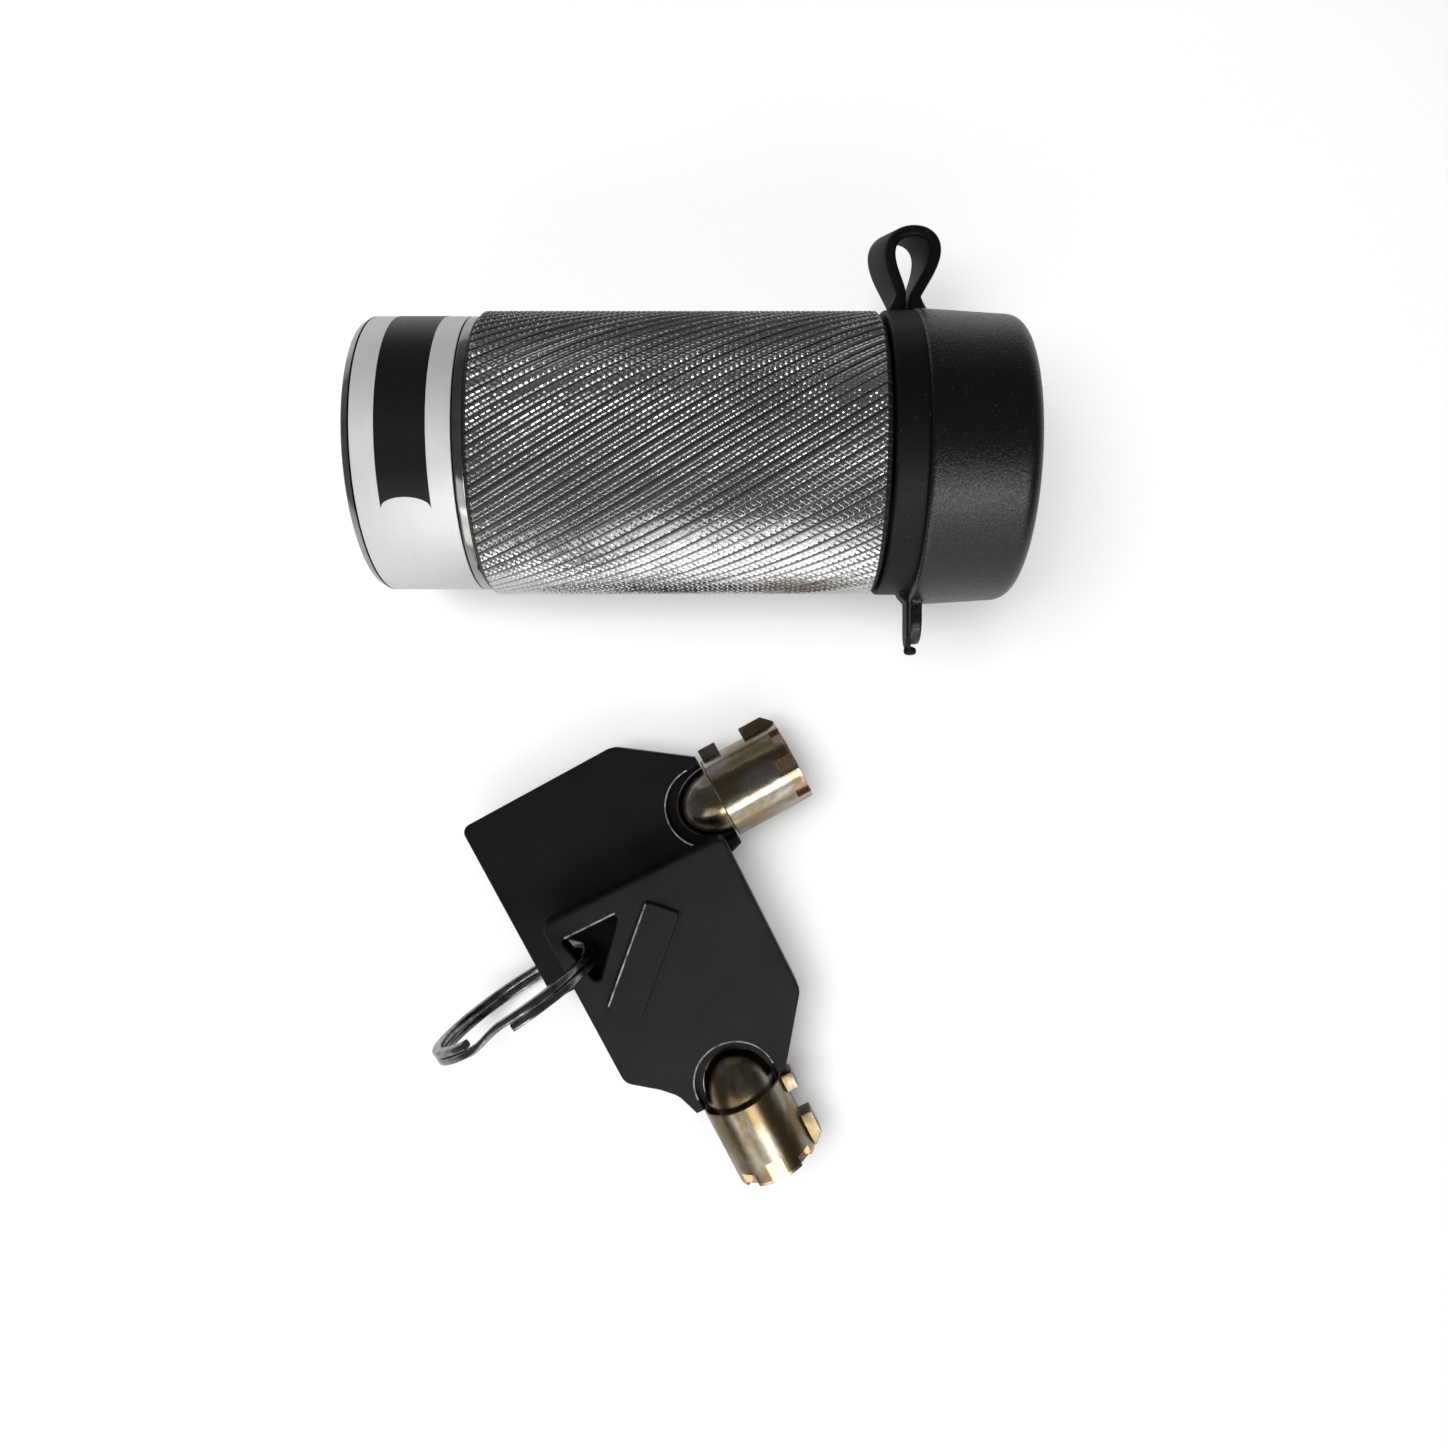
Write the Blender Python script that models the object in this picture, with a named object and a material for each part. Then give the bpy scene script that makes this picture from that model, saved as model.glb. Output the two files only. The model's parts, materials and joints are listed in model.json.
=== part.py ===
"""Hitch pin lock: a knurled barrel that locks on the grooved end of a hitch pin, its rubber dust cap,
and two tubular keys on a split ring.

The barrel lies on its side along +X, with the pin entry at -X and the key end, under the dust cap, at +X.
Everything that turns with the barrel's axis is drawn in the lock's own frame: x from the pin-entry face,
r from the barrel's axis. Each key is drawn in its own frame: d from the bow's ring end towards the tube,
p across the bow, from the edge beside the eyelet. Metres, +Z up, floor at z = 0.
"""

from math import acos, asin, atan2, cos, pi, radians, sin, sqrt

import bmesh
import bpy
from mathutils import Matrix, Vector

# Clearances
FIT = 0.0003            # between pieces that touch or are pressed together
RUN = 0.0002            # round a ball or a small pin in its hole
TURN = 0.00025          # round the parts that turn

# Barrel, outside
NOSE_BEVEL = 0.00088    # polished bevel round the entry
LABEL_LENGTH = 0.00967
LABEL_THICK = 0.00025
LABEL_GROOVE = 0.00092  # polished land between label and knurl
KNURL_CHAMFER = 0.0005
KNURL_HEIGHT = 0.000515   # of the knurl over the smooth section that carries the label
KNURL_LENGTH = 0.03977
COLLAR_LENGTH = 0.00306
BOSS_WALL = 0.0017      # the neck under the dust cap, round the lock cylinder
BOSS_LENGTH = 0.0083    # from the collar to the lock's face
SEAT_STEP = 0.0009      # the collar's seat over the neck
LIP_LENGTH = 0.0009
LIP_HEIGHT = 0.0003     # the lip that holds the collar, over its seat

# Pin side
PIN_R = 0.00635         # half-inch hitch pin
PIN_PLAY = 0.0002
BUSH_LENGTH = 0.0110
BUSH_CHAMFER = 0.0008
SEAL_WIRE_R = 0.00105
SEAL_SQUEEZE = 0.0001   # how far the seal stands inside the pin's radius
SEAL_X = 0.0046
GUIDE_FLANGE = 0.0017
GUIDE_END = 0.0016
GUIDE_GAP = 0.0004      # between the ball guide and the cam ring
PIN_DEPTH = 0.0270
BALL_COUNT = 3
BALL_R = 0.00175
BALL_REACH = 0.0013     # how far a locked ball stands into the pin bore
BALL_TRAVEL = 0.00135
CAM_GAP = 0.0023        # from the guide's flange to the cam ring
CAM_LEAD = 0.0037       # from the cam ring's front edge to the middle of the balls
CAM_POCKET_SPARE = 0.00015
CAM_WALL = 0.00078      # behind a released ball
CAM_BACK = 0.0016
CAM_PLAY = 0.0007       # behind the cam ring
CAM_TURN = radians(90)  # key turn from locked to open
CAM_SPARE = radians(8)

# Key side
CYLINDER_BORE_R = 0.0072
CYLINDER_WALL = 0.0017
CYLINDER_FRONT = 0.0018
CYLINDER_REAR = 0.0007  # behind the circlip
CYLINDER_RECESS = 0.0002  # face below the end of the boss
KEY_PLAY = 0.0002
CIRCLIP_THICK = 0.0005
CIRCLIP_GROOVE_DEPTH = 0.0007
CIRCLIP_GAP = radians(40)
WASHER_THICK = 0.0008
FLANGE_FLOOR = 0.0007   # of the spindle's flange, behind the pin springs
TAIL_R = 0.0039
TANG_R = 0.0029
TANG_THICK = 0.0032
POST_PLAY = 0.00055     # between the spindle's post and the key's bore
POST_SLOT = 0.0012
BUSHING_LENGTH = 0.0050
BUSHING_EDGE = 0.0009   # of the bushing, behind the lock pin
PIN_COUNT = 7
PIN_PLACES = 8          # the seven pins take seven of eight equal places
PIN_INSET = 0.0005      # of the pins' circle from the key tube's outside
PIN_STACK_R = 0.0006
DRIVER_LENGTH = 0.0030
SPRING_LENGTH = 0.0027
SPRING_WIRE_R = 0.00011
SPRING_TURNS = 3
KEY_PIN_LENGTHS = (0.0054, 0.0060, 0.0050, 0.0064, 0.0056, 0.0051, 0.0062)
LOCK_PIN_R = 0.0010
LOCK_PIN_CLEAR = 0.00075  # from the pin stacks to the lock pin's tip

# Rubber
COLLAR_WALL = 0.00255
COLLAR_PROUD = 0.00006  # of the collar over the knurl
CAP_GAP = 0.0009        # between the cap and the neck
CAP_FLARE = 0.00055     # of the cap's rim over its closed end
CAP_CORNER_R = 0.0017
CAP_LENGTH = 0.0108
CAP_SAG = 0.00045       # the soft cap sits this much off the axis, towards its pull tab
CAP_WALL = 0.0022
CAP_END_WALL = 0.0020
CAP_TAB_WIDTH = 0.0048
COLLAR_TAB_THICK = 0.0006
COLLAR_TAB_WIDTH = 0.0030
COLLAR_GUSSET = 0.0013
COLLAR_NUB_R = 0.00045
COLLAR_NUB_LENGTH = 0.0014
CAP_TAB_THICK = 0.0013
CAP_TAB_LENGTH = 0.0042
TAB_OVERHANG = 0.00045  # of the collar's tab past the cap's
STRAP_THICK = 0.00115
STRAP_WIDTH = 0.0050
STRAP_NECK = 0.0010     # from the cap's rim to where the strap's legs meet
STRAP_LOOP = 0.00775    # from there to the top of the loop
STRAP_HALF_WIDTH = 0.0023
STRAP_PINCH = 0.00066   # half the distance between the strap's legs where they meet
STRAP_ROOT = 0.0022     # thickness where the legs join collar and cap
STRAP_LEAN = Vector((-0.34, 0.18, -0.92))

# Keys
KEY_TUBE_R = 0.00475
KEY_WALL = 0.0012
TUBE_LENGTH = 0.0094
BOW_WIDTH = 0.0220
BOW_STRAIGHT = 0.0196
BOW_TAPER = 0.0053
BOW_NECK_LENGTH = 0.0021
BOW_THICK = 0.0030
BOW_CORNER_R = 0.0010
BOW_SHOULDER_R = 0.0018
BOW_WAIST_WIDTH = 0.0128  # where the bow's taper eases off
BOW_NECK = 0.0110       # width where the bow meets the tube
WINDOW_R = 0.0048
WINDOW_INSET = 0.0005   # of the window's centre from the bow's end
DOME_GAP = 0.0008       # between the window and the tube's domed nose
DOME_LENGTH = 0.0042
TANG_WIDTH = 0.0050
KEY_TANG_THICK = 0.0013
TANG_LENGTH = 0.0080
EYELET = ((0.0023, 0.0012), (0.0087, 0.0026), (0.0023, 0.0083))
EYELET_PIVOTS = ((0.0055, 0.0032), (0.0052, 0.0032))  # where the ring passes through each key
BAR_CENTRE = (0.0088, 0.0082)
BAR_LENGTH = 0.0125
BAR_WIDTH = 0.0036
BAR_HEIGHT = 0.0005
BAR_ANGLE = radians(-48)
LUG_HEIGHT = 0.0012
LUG_WIDTH = 0.0022
LUGS = ((0.0003, 0.0021, 0.0), (0.0055, 0.0039, 0.0011))  # start on the tube, length, chamfer
BITTING = (0.0012, 0.0024, 0.0016, 0.0030, 0.0009, 0.0020, 0.0026)
BITTING_WIDTH = 0.0019
BITTING_DEPTH = 0.0006

# Split ring
RING_R = 0.0095          # middle of the wire
RING_WIRE_RADIAL = 0.0011
RING_WIRE_AXIAL = 0.0008
RING_GAP = 0.00008       # between its two turns
RING_LEAN = radians(3.0)
RING_HEADING = radians(32.0)
RING_SPLIT = radians(102.0)
RING_JOG = radians(28.0)
KEY_LAY = 0.0010         # room between the two keys where they cross the ring
KEY_HEADINGS = (radians(-63.6), radians(28.6))

# Where the lock and the ring lie
LOCK_Y = 0.02766
RING_PLACE = Vector((-0.01965, -0.030535))

# Facets
ROUND = 48
SMALL_ROUND = 24
TINY_ROUND = 12

# Worked out: the lock's radii, from the key outwards and from the hitch pin outwards
KEY_BORE_R = KEY_TUBE_R - KEY_WALL
KEYWAY_R = KEY_TUBE_R + KEY_PLAY
PIN_CIRCLE_R = KEY_TUBE_R - PIN_INSET
PIN_HOLE_R = PIN_STACK_R + RUN * 0.75
POST_R = KEY_BORE_R - POST_PLAY
LOCK_PIN_TIP_R = PIN_CIRCLE_R + PIN_STACK_R + LOCK_PIN_CLEAR
FLANGE_R = CYLINDER_BORE_R - FIT
CYLINDER_R = CYLINDER_BORE_R + CYLINDER_WALL
CYLINDER_BORE_WALL_R = CYLINDER_R + FIT
BOSS_R = CYLINDER_BORE_WALL_R + BOSS_WALL
COLLAR_SEAT_R = BOSS_R + SEAT_STEP
LIP_R = COLLAR_SEAT_R + LIP_HEIGHT
COLLAR_R = COLLAR_SEAT_R + COLLAR_WALL
BARREL_R = COLLAR_R - COLLAR_PROUD                       # over the knurl: 28.6 mm bar
LABEL_R = BARREL_R - KNURL_HEIGHT
NOSE_R = LABEL_R - NOSE_BEVEL
CAP_END_R = BOSS_R + CAP_GAP + CAP_SAG + CAP_WALL
CAP_RIM_R = CAP_END_R + CAP_FLARE
CAP_HINGE_R = CAP_RIM_R + FIT
CAP_TAB_REACH = CAP_RIM_R + CAP_TAB_LENGTH
COLLAR_TAB_REACH = CAP_TAB_REACH + CAP_SAG + TAB_OVERHANG
STRAP_PINCH_R = CAP_RIM_R + STRAP_NECK
STRAP_TOP = STRAP_PINCH_R + STRAP_LOOP
PIN_BORE_R = PIN_R + PIN_PLAY
BALL_REST_R = PIN_BORE_R - BALL_REACH + BALL_R
CAM_INNER_R = BALL_REST_R + BALL_R + RUN
CAM_RISE = BALL_TRAVEL / CAM_TURN
CAM_R = CAM_INNER_R + CAM_RISE * (CAM_TURN + CAM_SPARE) + CAM_WALL
CHAMBER_R = CAM_R + FIT
GUIDE_R = CAM_INNER_R - GUIDE_GAP

# Worked out: places along the barrel, from the pin-entry face
LABEL_START = NOSE_BEVEL
LABEL_END = LABEL_START + LABEL_LENGTH
KNURL_START = LABEL_END + LABEL_GROOVE
KNURL_END = KNURL_START + KNURL_LENGTH
COLLAR_END = KNURL_END + COLLAR_LENGTH
CAP_START = COLLAR_END + FIT
CAP_END = CAP_START + CAP_LENGTH
BOSS_END = COLLAR_END + BOSS_LENGTH
GUIDE_START = BUSH_LENGTH + FIT
CAM_START = GUIDE_START + GUIDE_FLANGE + CAM_GAP
BALL_X = CAM_START + CAM_LEAD
CAM_END = PIN_DEPTH + GUIDE_END + FIT + CAM_BACK
CHAMBER_DEPTH = CAM_END + CAM_PLAY
CYLINDER_END = BOSS_END - CYLINDER_RECESS
LOCK_PIN_X = (KNURL_END + COLLAR_END) / 2
SHEAR_X = LOCK_PIN_X - LOCK_PIN_R - BUSHING_EDGE - FIT   # front of the spindle's flange, where the pins part
SPINDLE_X = SHEAR_X - DRIVER_LENGTH - SPRING_LENGTH - FIT - FLANGE_FLOOR
WASHER_X = SPINDLE_X - FIT - WASHER_THICK
CIRCLIP_X = WASHER_X - FIT - CIRCLIP_THICK
CYLINDER_X = CIRCLIP_X - CYLINDER_REAR

# Worked out: places along a key, from the bow's ring end
BOW_WAIST = BOW_STRAIGHT + BOW_TAPER
BOW_LENGTH = BOW_WAIST + BOW_NECK_LENGTH
WINDOW_CENTRE = BOW_LENGTH - WINDOW_INSET
TUBE_START = BOW_LENGTH + FIT
KEY_LENGTH = TUBE_START + TUBE_LENGTH
DOME_R = WINDOW_R - DOME_GAP

# Worked out: heights
RING_PITCH = RING_WIRE_AXIAL + RING_GAP
KEY_HEIGHTS = (KEY_TUBE_R + BOW_THICK + BAR_HEIGHT + KEY_LAY, KEY_TUBE_R)
LOCK_PLACE = Vector((-CAP_END / 2, LOCK_Y, max(BARREL_R, COLLAR_R, CAP_RIM_R)))


def clear_scene():
    for item in list(bpy.data.objects):
        bpy.data.objects.remove(item, do_unlink=True)


def material(name, colour, roughness, metallic=0.0):
    made = bpy.data.materials.new(name)
    made.use_nodes = True
    shader = made.node_tree.nodes["Principled BSDF"]
    shader.inputs["Base Color"].default_value = (*colour, 1.0)
    shader.inputs["Roughness"].default_value = roughness
    shader.inputs["Metallic"].default_value = metallic
    return made


def empty(name, place, rotation=None, parent=None):
    made = bpy.data.objects.new(name, None)
    bpy.context.scene.collection.objects.link(made)
    made.matrix_world = Matrix.Translation(place) @ (rotation or Matrix()).to_4x4()
    if parent:
        made.parent = parent
        made.matrix_parent_inverse = parent.matrix_world.inverted()
    return made


def place_mesh(name, shape, parent, finish=None, origin=(0, 0, 0)):
    """Turn a bmesh, drawn in its parent's frame, into an object whose origin is at `origin` there."""
    bmesh.ops.recalc_face_normals(shape, faces=shape.faces)
    bmesh.ops.translate(shape, verts=shape.verts, vec=-Vector(origin))
    mesh = bpy.data.meshes.new(name)
    shape.to_mesh(mesh)
    shape.free()
    mesh.shade_smooth()
    mesh.set_sharp_from_angle(angle=radians(35))
    made = bpy.data.objects.new(name, mesh)
    bpy.context.scene.collection.objects.link(made)
    made.parent = parent
    made.location = origin
    if finish:
        made.data.materials.append(finish)
    return made


def use_tool(target, tool_shape, operation, label, origin=(0, 0, 0)):
    """Cut or join a closed shape, drawn in the target's parent frame, with a Boolean modifier."""
    tool = place_mesh(f"{target.name}_{label}", tool_shape, target.parent, origin=origin)
    tool.hide_render = True
    tool.display_type = "WIRE"
    modifier = target.modifiers.new(label, "BOOLEAN")
    modifier.operation = operation
    modifier.object = tool


def add_turned(shape, profile, count):
    """Revolve a closed (x, r) outline about the X axis. Points with r = 0 are poles."""
    rings = []
    for x, r in profile:
        if r <= 0:
            rings.append([shape.verts.new((x, 0, 0))])
            continue
        turns = [2 * pi * i / count for i in range(count)]
        rings.append([shape.verts.new((x, r * cos(a), r * sin(a))) for a in turns])
    for first, second in zip(rings, rings[1:] + rings[:1]):
        if len(first) == len(second) == 1:
            continue
        for i in range(count):
            j = (i + 1) % count
            around = [first[i % len(first)], second[i % len(second)], second[j % len(second)], first[j % len(first)]]
            corners = list(dict.fromkeys(around))
            shape.faces.new(corners)
    return shape


def turned(profile, count=ROUND):
    return add_turned(bmesh.new(), profile, count)


def add_prism(shape, outline, low, high):
    """Close a prism over a flat outline of (x, y) points, from z = low to z = high."""
    bottom = [shape.verts.new((x, y, low)) for x, y in outline]
    top = [shape.verts.new((x, y, high)) for x, y in outline]
    shape.faces.new(bottom)
    shape.faces.new(top)
    for i in range(len(outline)):
        j = (i + 1) % len(outline)
        shape.faces.new((bottom[i], bottom[j], top[j], top[i]))
    return bottom + top


def add_block(shape, low, high, turn=None):
    outline = ((low[0], low[1]), (high[0], low[1]), (high[0], high[1]), (low[0], high[1]))
    corners = add_prism(shape, outline, low[2], high[2])
    if turn:
        bmesh.ops.transform(shape, matrix=turn, verts=corners)


def add_rod(shape, start, end, radius, count):
    """A round rod between two points."""
    start, end = Vector(start), Vector(end)
    along = (end - start).normalized()
    matrix = Matrix.Translation(start) @ along.to_track_quat("Z", "Y").to_matrix().to_4x4()
    outline = [(radius * cos(2 * pi * i / count), radius * sin(2 * pi * i / count)) for i in range(count)]
    corners = add_prism(shape, outline, 0.0, (end - start).length)
    bmesh.ops.transform(shape, matrix=matrix, verts=corners)


def add_sweep(shape, sections, closed=False):
    """Skin a list of equal cross-sections; the ends are capped unless it closes on itself."""
    rings = [[shape.verts.new(point) for point in section] for section in sections]
    pairs = list(zip(rings, rings[1:]))
    if closed:
        pairs.append((rings[-1], rings[0]))
    count = len(rings[0])
    for first, second in pairs:
        for i in range(count):
            j = (i + 1) % count
            shape.faces.new((first[i], first[j], second[j], second[i]))
    if not closed:
        shape.faces.new(rings[0])
        shape.faces.new(rings[-1])
    return shape


def arc(centre, radius, start, end, steps):
    turns = [start + (end - start) * i / steps for i in range(steps + 1)]
    return [(centre[0] + radius * cos(a), centre[1] + radius * sin(a)) for a in turns]


def rounded(corners, radii, steps=5):
    """Round each corner of a flat outline with its own radius."""
    outline = []
    count = len(corners)
    for i, (corner, radius) in enumerate(zip(corners, radii)):
        here = Vector(corner)
        before = (Vector(corners[i - 1]) - here).normalized()
        after = (Vector(corners[(i + 1) % count]) - here).normalized()
        if radius <= 0:
            outline.append(tuple(here))
            continue
        half = acos(max(-1.0, min(1.0, before.dot(after)))) / 2
        centre = here + (before + after).normalized() * radius / sin(half)
        first = here + before * radius * cos(half) / sin(half)
        last = here + after * radius * cos(half) / sin(half)
        begin = atan2(first.y - centre.y, first.x - centre.x)
        sweep = atan2(last.y - centre.y, last.x - centre.x) - begin
        sweep = (sweep + pi) % (2 * pi) - pi
        outline += arc(centre, radius, begin, begin + sweep, steps)
    return outline


def radial(x, r, angle):
    return Vector((x, r * cos(angle), r * sin(angle)))


def pin_angle(index):
    """Angle of a pin stack about the barrel's axis; the place at the top stays free for the key's lug."""
    return pi / 2 + 2 * pi * (index + 1) / PIN_PLACES


# ---- barrel ----


def make_barrel(lock, finish):
    seat = LABEL_R - LABEL_THICK - FIT
    profile = [
        (0, CHAMBER_R), (0, NOSE_R), (NOSE_BEVEL, LABEL_R), (NOSE_BEVEL, seat),
        (LABEL_END, seat), (LABEL_END, LABEL_R), (KNURL_START, LABEL_R),
        (KNURL_START + KNURL_CHAMFER, BARREL_R), (KNURL_END - KNURL_CHAMFER, BARREL_R),
        (KNURL_END, LABEL_R), (KNURL_END, COLLAR_SEAT_R), (COLLAR_END, COLLAR_SEAT_R),
        (COLLAR_END, LIP_R), (COLLAR_END + LIP_LENGTH, LIP_R), (COLLAR_END + LIP_LENGTH + FIT, BOSS_R),
        (BOSS_END, BOSS_R), (BOSS_END, CYLINDER_BORE_WALL_R),
        (CYLINDER_X - FIT, CYLINDER_BORE_WALL_R), (CYLINDER_X - FIT, TAIL_R + TURN),
        (CHAMBER_DEPTH, TAIL_R + TURN), (CHAMBER_DEPTH, CHAMBER_R),
    ]
    body = place_mesh("barrel_body", turned(profile), lock, finish)
    hole = bmesh.new()
    add_rod(hole, radial(LOCK_PIN_X, CYLINDER_R - FIT, -pi / 2), radial(LOCK_PIN_X, BARREL_R, -pi / 2),
            LOCK_PIN_R + RUN, SMALL_ROUND)
    use_tool(body, hole, "DIFFERENCE", "lock_pin_hole")
    return body


def make_label(lock, finish):
    inner = LABEL_R - LABEL_THICK
    start, end = LABEL_START + FIT / 2, LABEL_END - FIT / 2
    profile = [(start, inner), (start, LABEL_R), (end, LABEL_R), (end, inner)]
    return place_mesh("label_band", turned(profile), lock, finish)


def make_front_bush(lock, finish):
    outer = CHAMBER_R - FIT
    half = SEAL_WIRE_R + RUN
    groove_r = PIN_R - SEAL_SQUEEZE + 2 * SEAL_WIRE_R + RUN
    profile = [
        (0, PIN_BORE_R + BUSH_CHAMFER), (0, outer), (BUSH_LENGTH, outer), (BUSH_LENGTH, PIN_BORE_R),
        (SEAL_X + half, PIN_BORE_R), (SEAL_X + half, groove_r), (SEAL_X - half, groove_r),
        (SEAL_X - half, PIN_BORE_R), (BUSH_CHAMFER, PIN_BORE_R),
    ]
    return place_mesh("front_bush", turned(profile), lock, finish)


def make_pin_seal(lock, finish):
    centre = (SEAL_X, PIN_R - SEAL_SQUEEZE + SEAL_WIRE_R)
    profile = arc(centre, SEAL_WIRE_R, 0, 2 * pi, 10)[:-1]
    return place_mesh("pin_seal", turned(profile, 36), lock, finish)


def ball_angle(index):
    return pi / 2 + 2 * pi * index / BALL_COUNT


def make_ball_guide(lock, finish):
    start = GUIDE_START
    end = PIN_DEPTH + GUIDE_END
    profile = [
        (start, PIN_BORE_R), (start, CHAMBER_R - FIT), (start + GUIDE_FLANGE, CHAMBER_R - FIT),
        (start + GUIDE_FLANGE, GUIDE_R), (end, GUIDE_R), (end, 0), (PIN_DEPTH, 0), (PIN_DEPTH, PIN_BORE_R),
    ]
    guide = place_mesh("ball_guide", turned(profile), lock, finish)
    holes = bmesh.new()
    for index in range(BALL_COUNT):
        angle = ball_angle(index)
        add_rod(holes, radial(BALL_X, PIN_BORE_R - BALL_R, angle), radial(BALL_X, GUIDE_R + BALL_R, angle),
                BALL_R + RUN, SMALL_ROUND)
    use_tool(guide, holes, "DIFFERENCE", "ball_holes")
    return guide


def make_balls(lock, finish):
    for index in range(BALL_COUNT):
        ball = bmesh.new()
        bmesh.ops.create_uvsphere(ball, u_segments=16, v_segments=8, radius=BALL_R)
        centre = radial(BALL_X, BALL_REST_R, ball_angle(index))
        bmesh.ops.translate(ball, verts=ball.verts, vec=centre)
        place_mesh(f"locking_ball_{index + 1}", ball, lock, finish, origin=centre)


def cam_radius(angle):
    """Inside radius of the cam ring at an angle past a locked ball, on a ramp that the key turns under it."""
    lobe = 2 * pi / BALL_COUNT
    past = (CAM_SPARE - angle) % lobe
    ramp = CAM_TURN + 2 * CAM_SPARE
    if past <= ramp:
        return CAM_INNER_R + CAM_RISE * (past - CAM_SPARE)
    return CAM_INNER_R + CAM_RISE * (ramp - CAM_SPARE) - CAM_RISE * ramp * (past - ramp) / (lobe - ramp)


def make_cam_ring(lock, finish):
    floor = CAM_END - CAM_BACK
    profile = [(CAM_START, CAM_INNER_R), (CAM_START, CAM_R), (CAM_END, CAM_R), (CAM_END, 0), (floor, 0),
               (floor, CAM_INNER_R)]
    ring = place_mesh("cam_ring", turned(profile), lock, finish)
    steps = 90
    low, high = CAM_START - FIT, BALL_X + BALL_R + CAM_POCKET_SPARE
    turns = [2 * pi * i / steps for i in range(steps)]
    pocket = [[radial(x, cam_radius(a - ball_angle(0)), a) for a in turns] for x in (low, high)]
    use_tool(ring, add_sweep(bmesh.new(), pocket), "DIFFERENCE", "ball_ramps")
    slot = bmesh.new()
    half_width, half_thick = TANG_R + FIT, TANG_THICK / 2 + FIT
    add_block(slot, (floor - FIT, -half_width, -half_thick), (CAM_END + FIT, half_width, half_thick))
    use_tool(ring, slot, "DIFFERENCE", "tang_slot")
    return ring


# ---- lock cylinder ----


def make_cylinder(lock, finish):
    groove_end = CIRCLIP_X + CIRCLIP_THICK + FIT
    groove_r = CYLINDER_BORE_R + CIRCLIP_GROOVE_DEPTH
    wall_x = CYLINDER_END - CYLINDER_FRONT
    profile = [
        (CYLINDER_X, CYLINDER_BORE_R), (CYLINDER_X, CYLINDER_R), (CYLINDER_END, CYLINDER_R),
        (CYLINDER_END, KEYWAY_R), (wall_x, KEYWAY_R), (wall_x, CYLINDER_BORE_R),
        (groove_end, CYLINDER_BORE_R), (groove_end, groove_r),
        (CIRCLIP_X - FIT, groove_r), (CIRCLIP_X - FIT, CYLINDER_BORE_R),
    ]
    housing = place_mesh("lock_cylinder", turned(profile), lock, finish)
    openings = bmesh.new()
    half = LUG_WIDTH / 2 + FIT
    add_block(openings, (wall_x - FIT, -half, 0.0), (CYLINDER_END + FIT, half, KEY_TUBE_R + LUG_HEIGHT + FIT))
    add_rod(openings, radial(LOCK_PIN_X, CYLINDER_BORE_R - FIT, -pi / 2),
            radial(LOCK_PIN_X, CYLINDER_R + FIT, -pi / 2), LOCK_PIN_R + RUN, SMALL_ROUND)
    use_tool(housing, openings, "DIFFERENCE", "lug_slot_and_pin_hole")
    return housing


def make_circlip(lock, finish):
    inner, outer = CYLINDER_BORE_R - FIT * 3, CYLINDER_BORE_R + CIRCLIP_GROOVE_DEPTH - FIT
    steps = 40
    sections = []
    for i in range(steps + 1):
        angle = CIRCLIP_GAP / 2 + (2 * pi - CIRCLIP_GAP) * i / steps
        corners = ((CIRCLIP_X, inner), (CIRCLIP_X + CIRCLIP_THICK, inner),
                   (CIRCLIP_X + CIRCLIP_THICK, outer), (CIRCLIP_X, outer))
        sections.append([radial(x, r, angle) for x, r in corners])
    return place_mesh("spindle_circlip", add_sweep(bmesh.new(), sections), lock, finish)


def make_washer(lock, finish):
    start, end = WASHER_X, WASHER_X + WASHER_THICK
    outer = CYLINDER_BORE_R - FIT
    profile = [(start, TAIL_R + TURN), (start, outer), (end, outer), (end, TAIL_R + TURN)]
    return place_mesh("spindle_washer", turned(profile, 48), lock, finish)


def make_pin_bushing(lock, finish):
    start = SHEAR_X + FIT
    end = start + BUSHING_LENGTH
    profile = [(start, POST_R + TURN), (start, CYLINDER_BORE_R - FIT), (end, CYLINDER_BORE_R - FIT),
               (end, POST_R + TURN)]
    bushing = place_mesh("pin_bushing", turned(profile, 48), lock, finish)
    holes = bmesh.new()
    for index in range(PIN_COUNT):
        angle = pin_angle(index)
        add_rod(holes, radial(start - FIT, PIN_CIRCLE_R, angle), radial(end + FIT, PIN_CIRCLE_R, angle),
                PIN_HOLE_R, TINY_ROUND)
    lock_pin_mouth = radial(LOCK_PIN_X, CYLINDER_BORE_R + FIT, -pi / 2)
    add_rod(holes, radial(LOCK_PIN_X, LOCK_PIN_TIP_R - RUN, -pi / 2), lock_pin_mouth, LOCK_PIN_R + RUN, SMALL_ROUND)
    use_tool(bushing, holes, "DIFFERENCE", "pin_holes")
    return bushing


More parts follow.
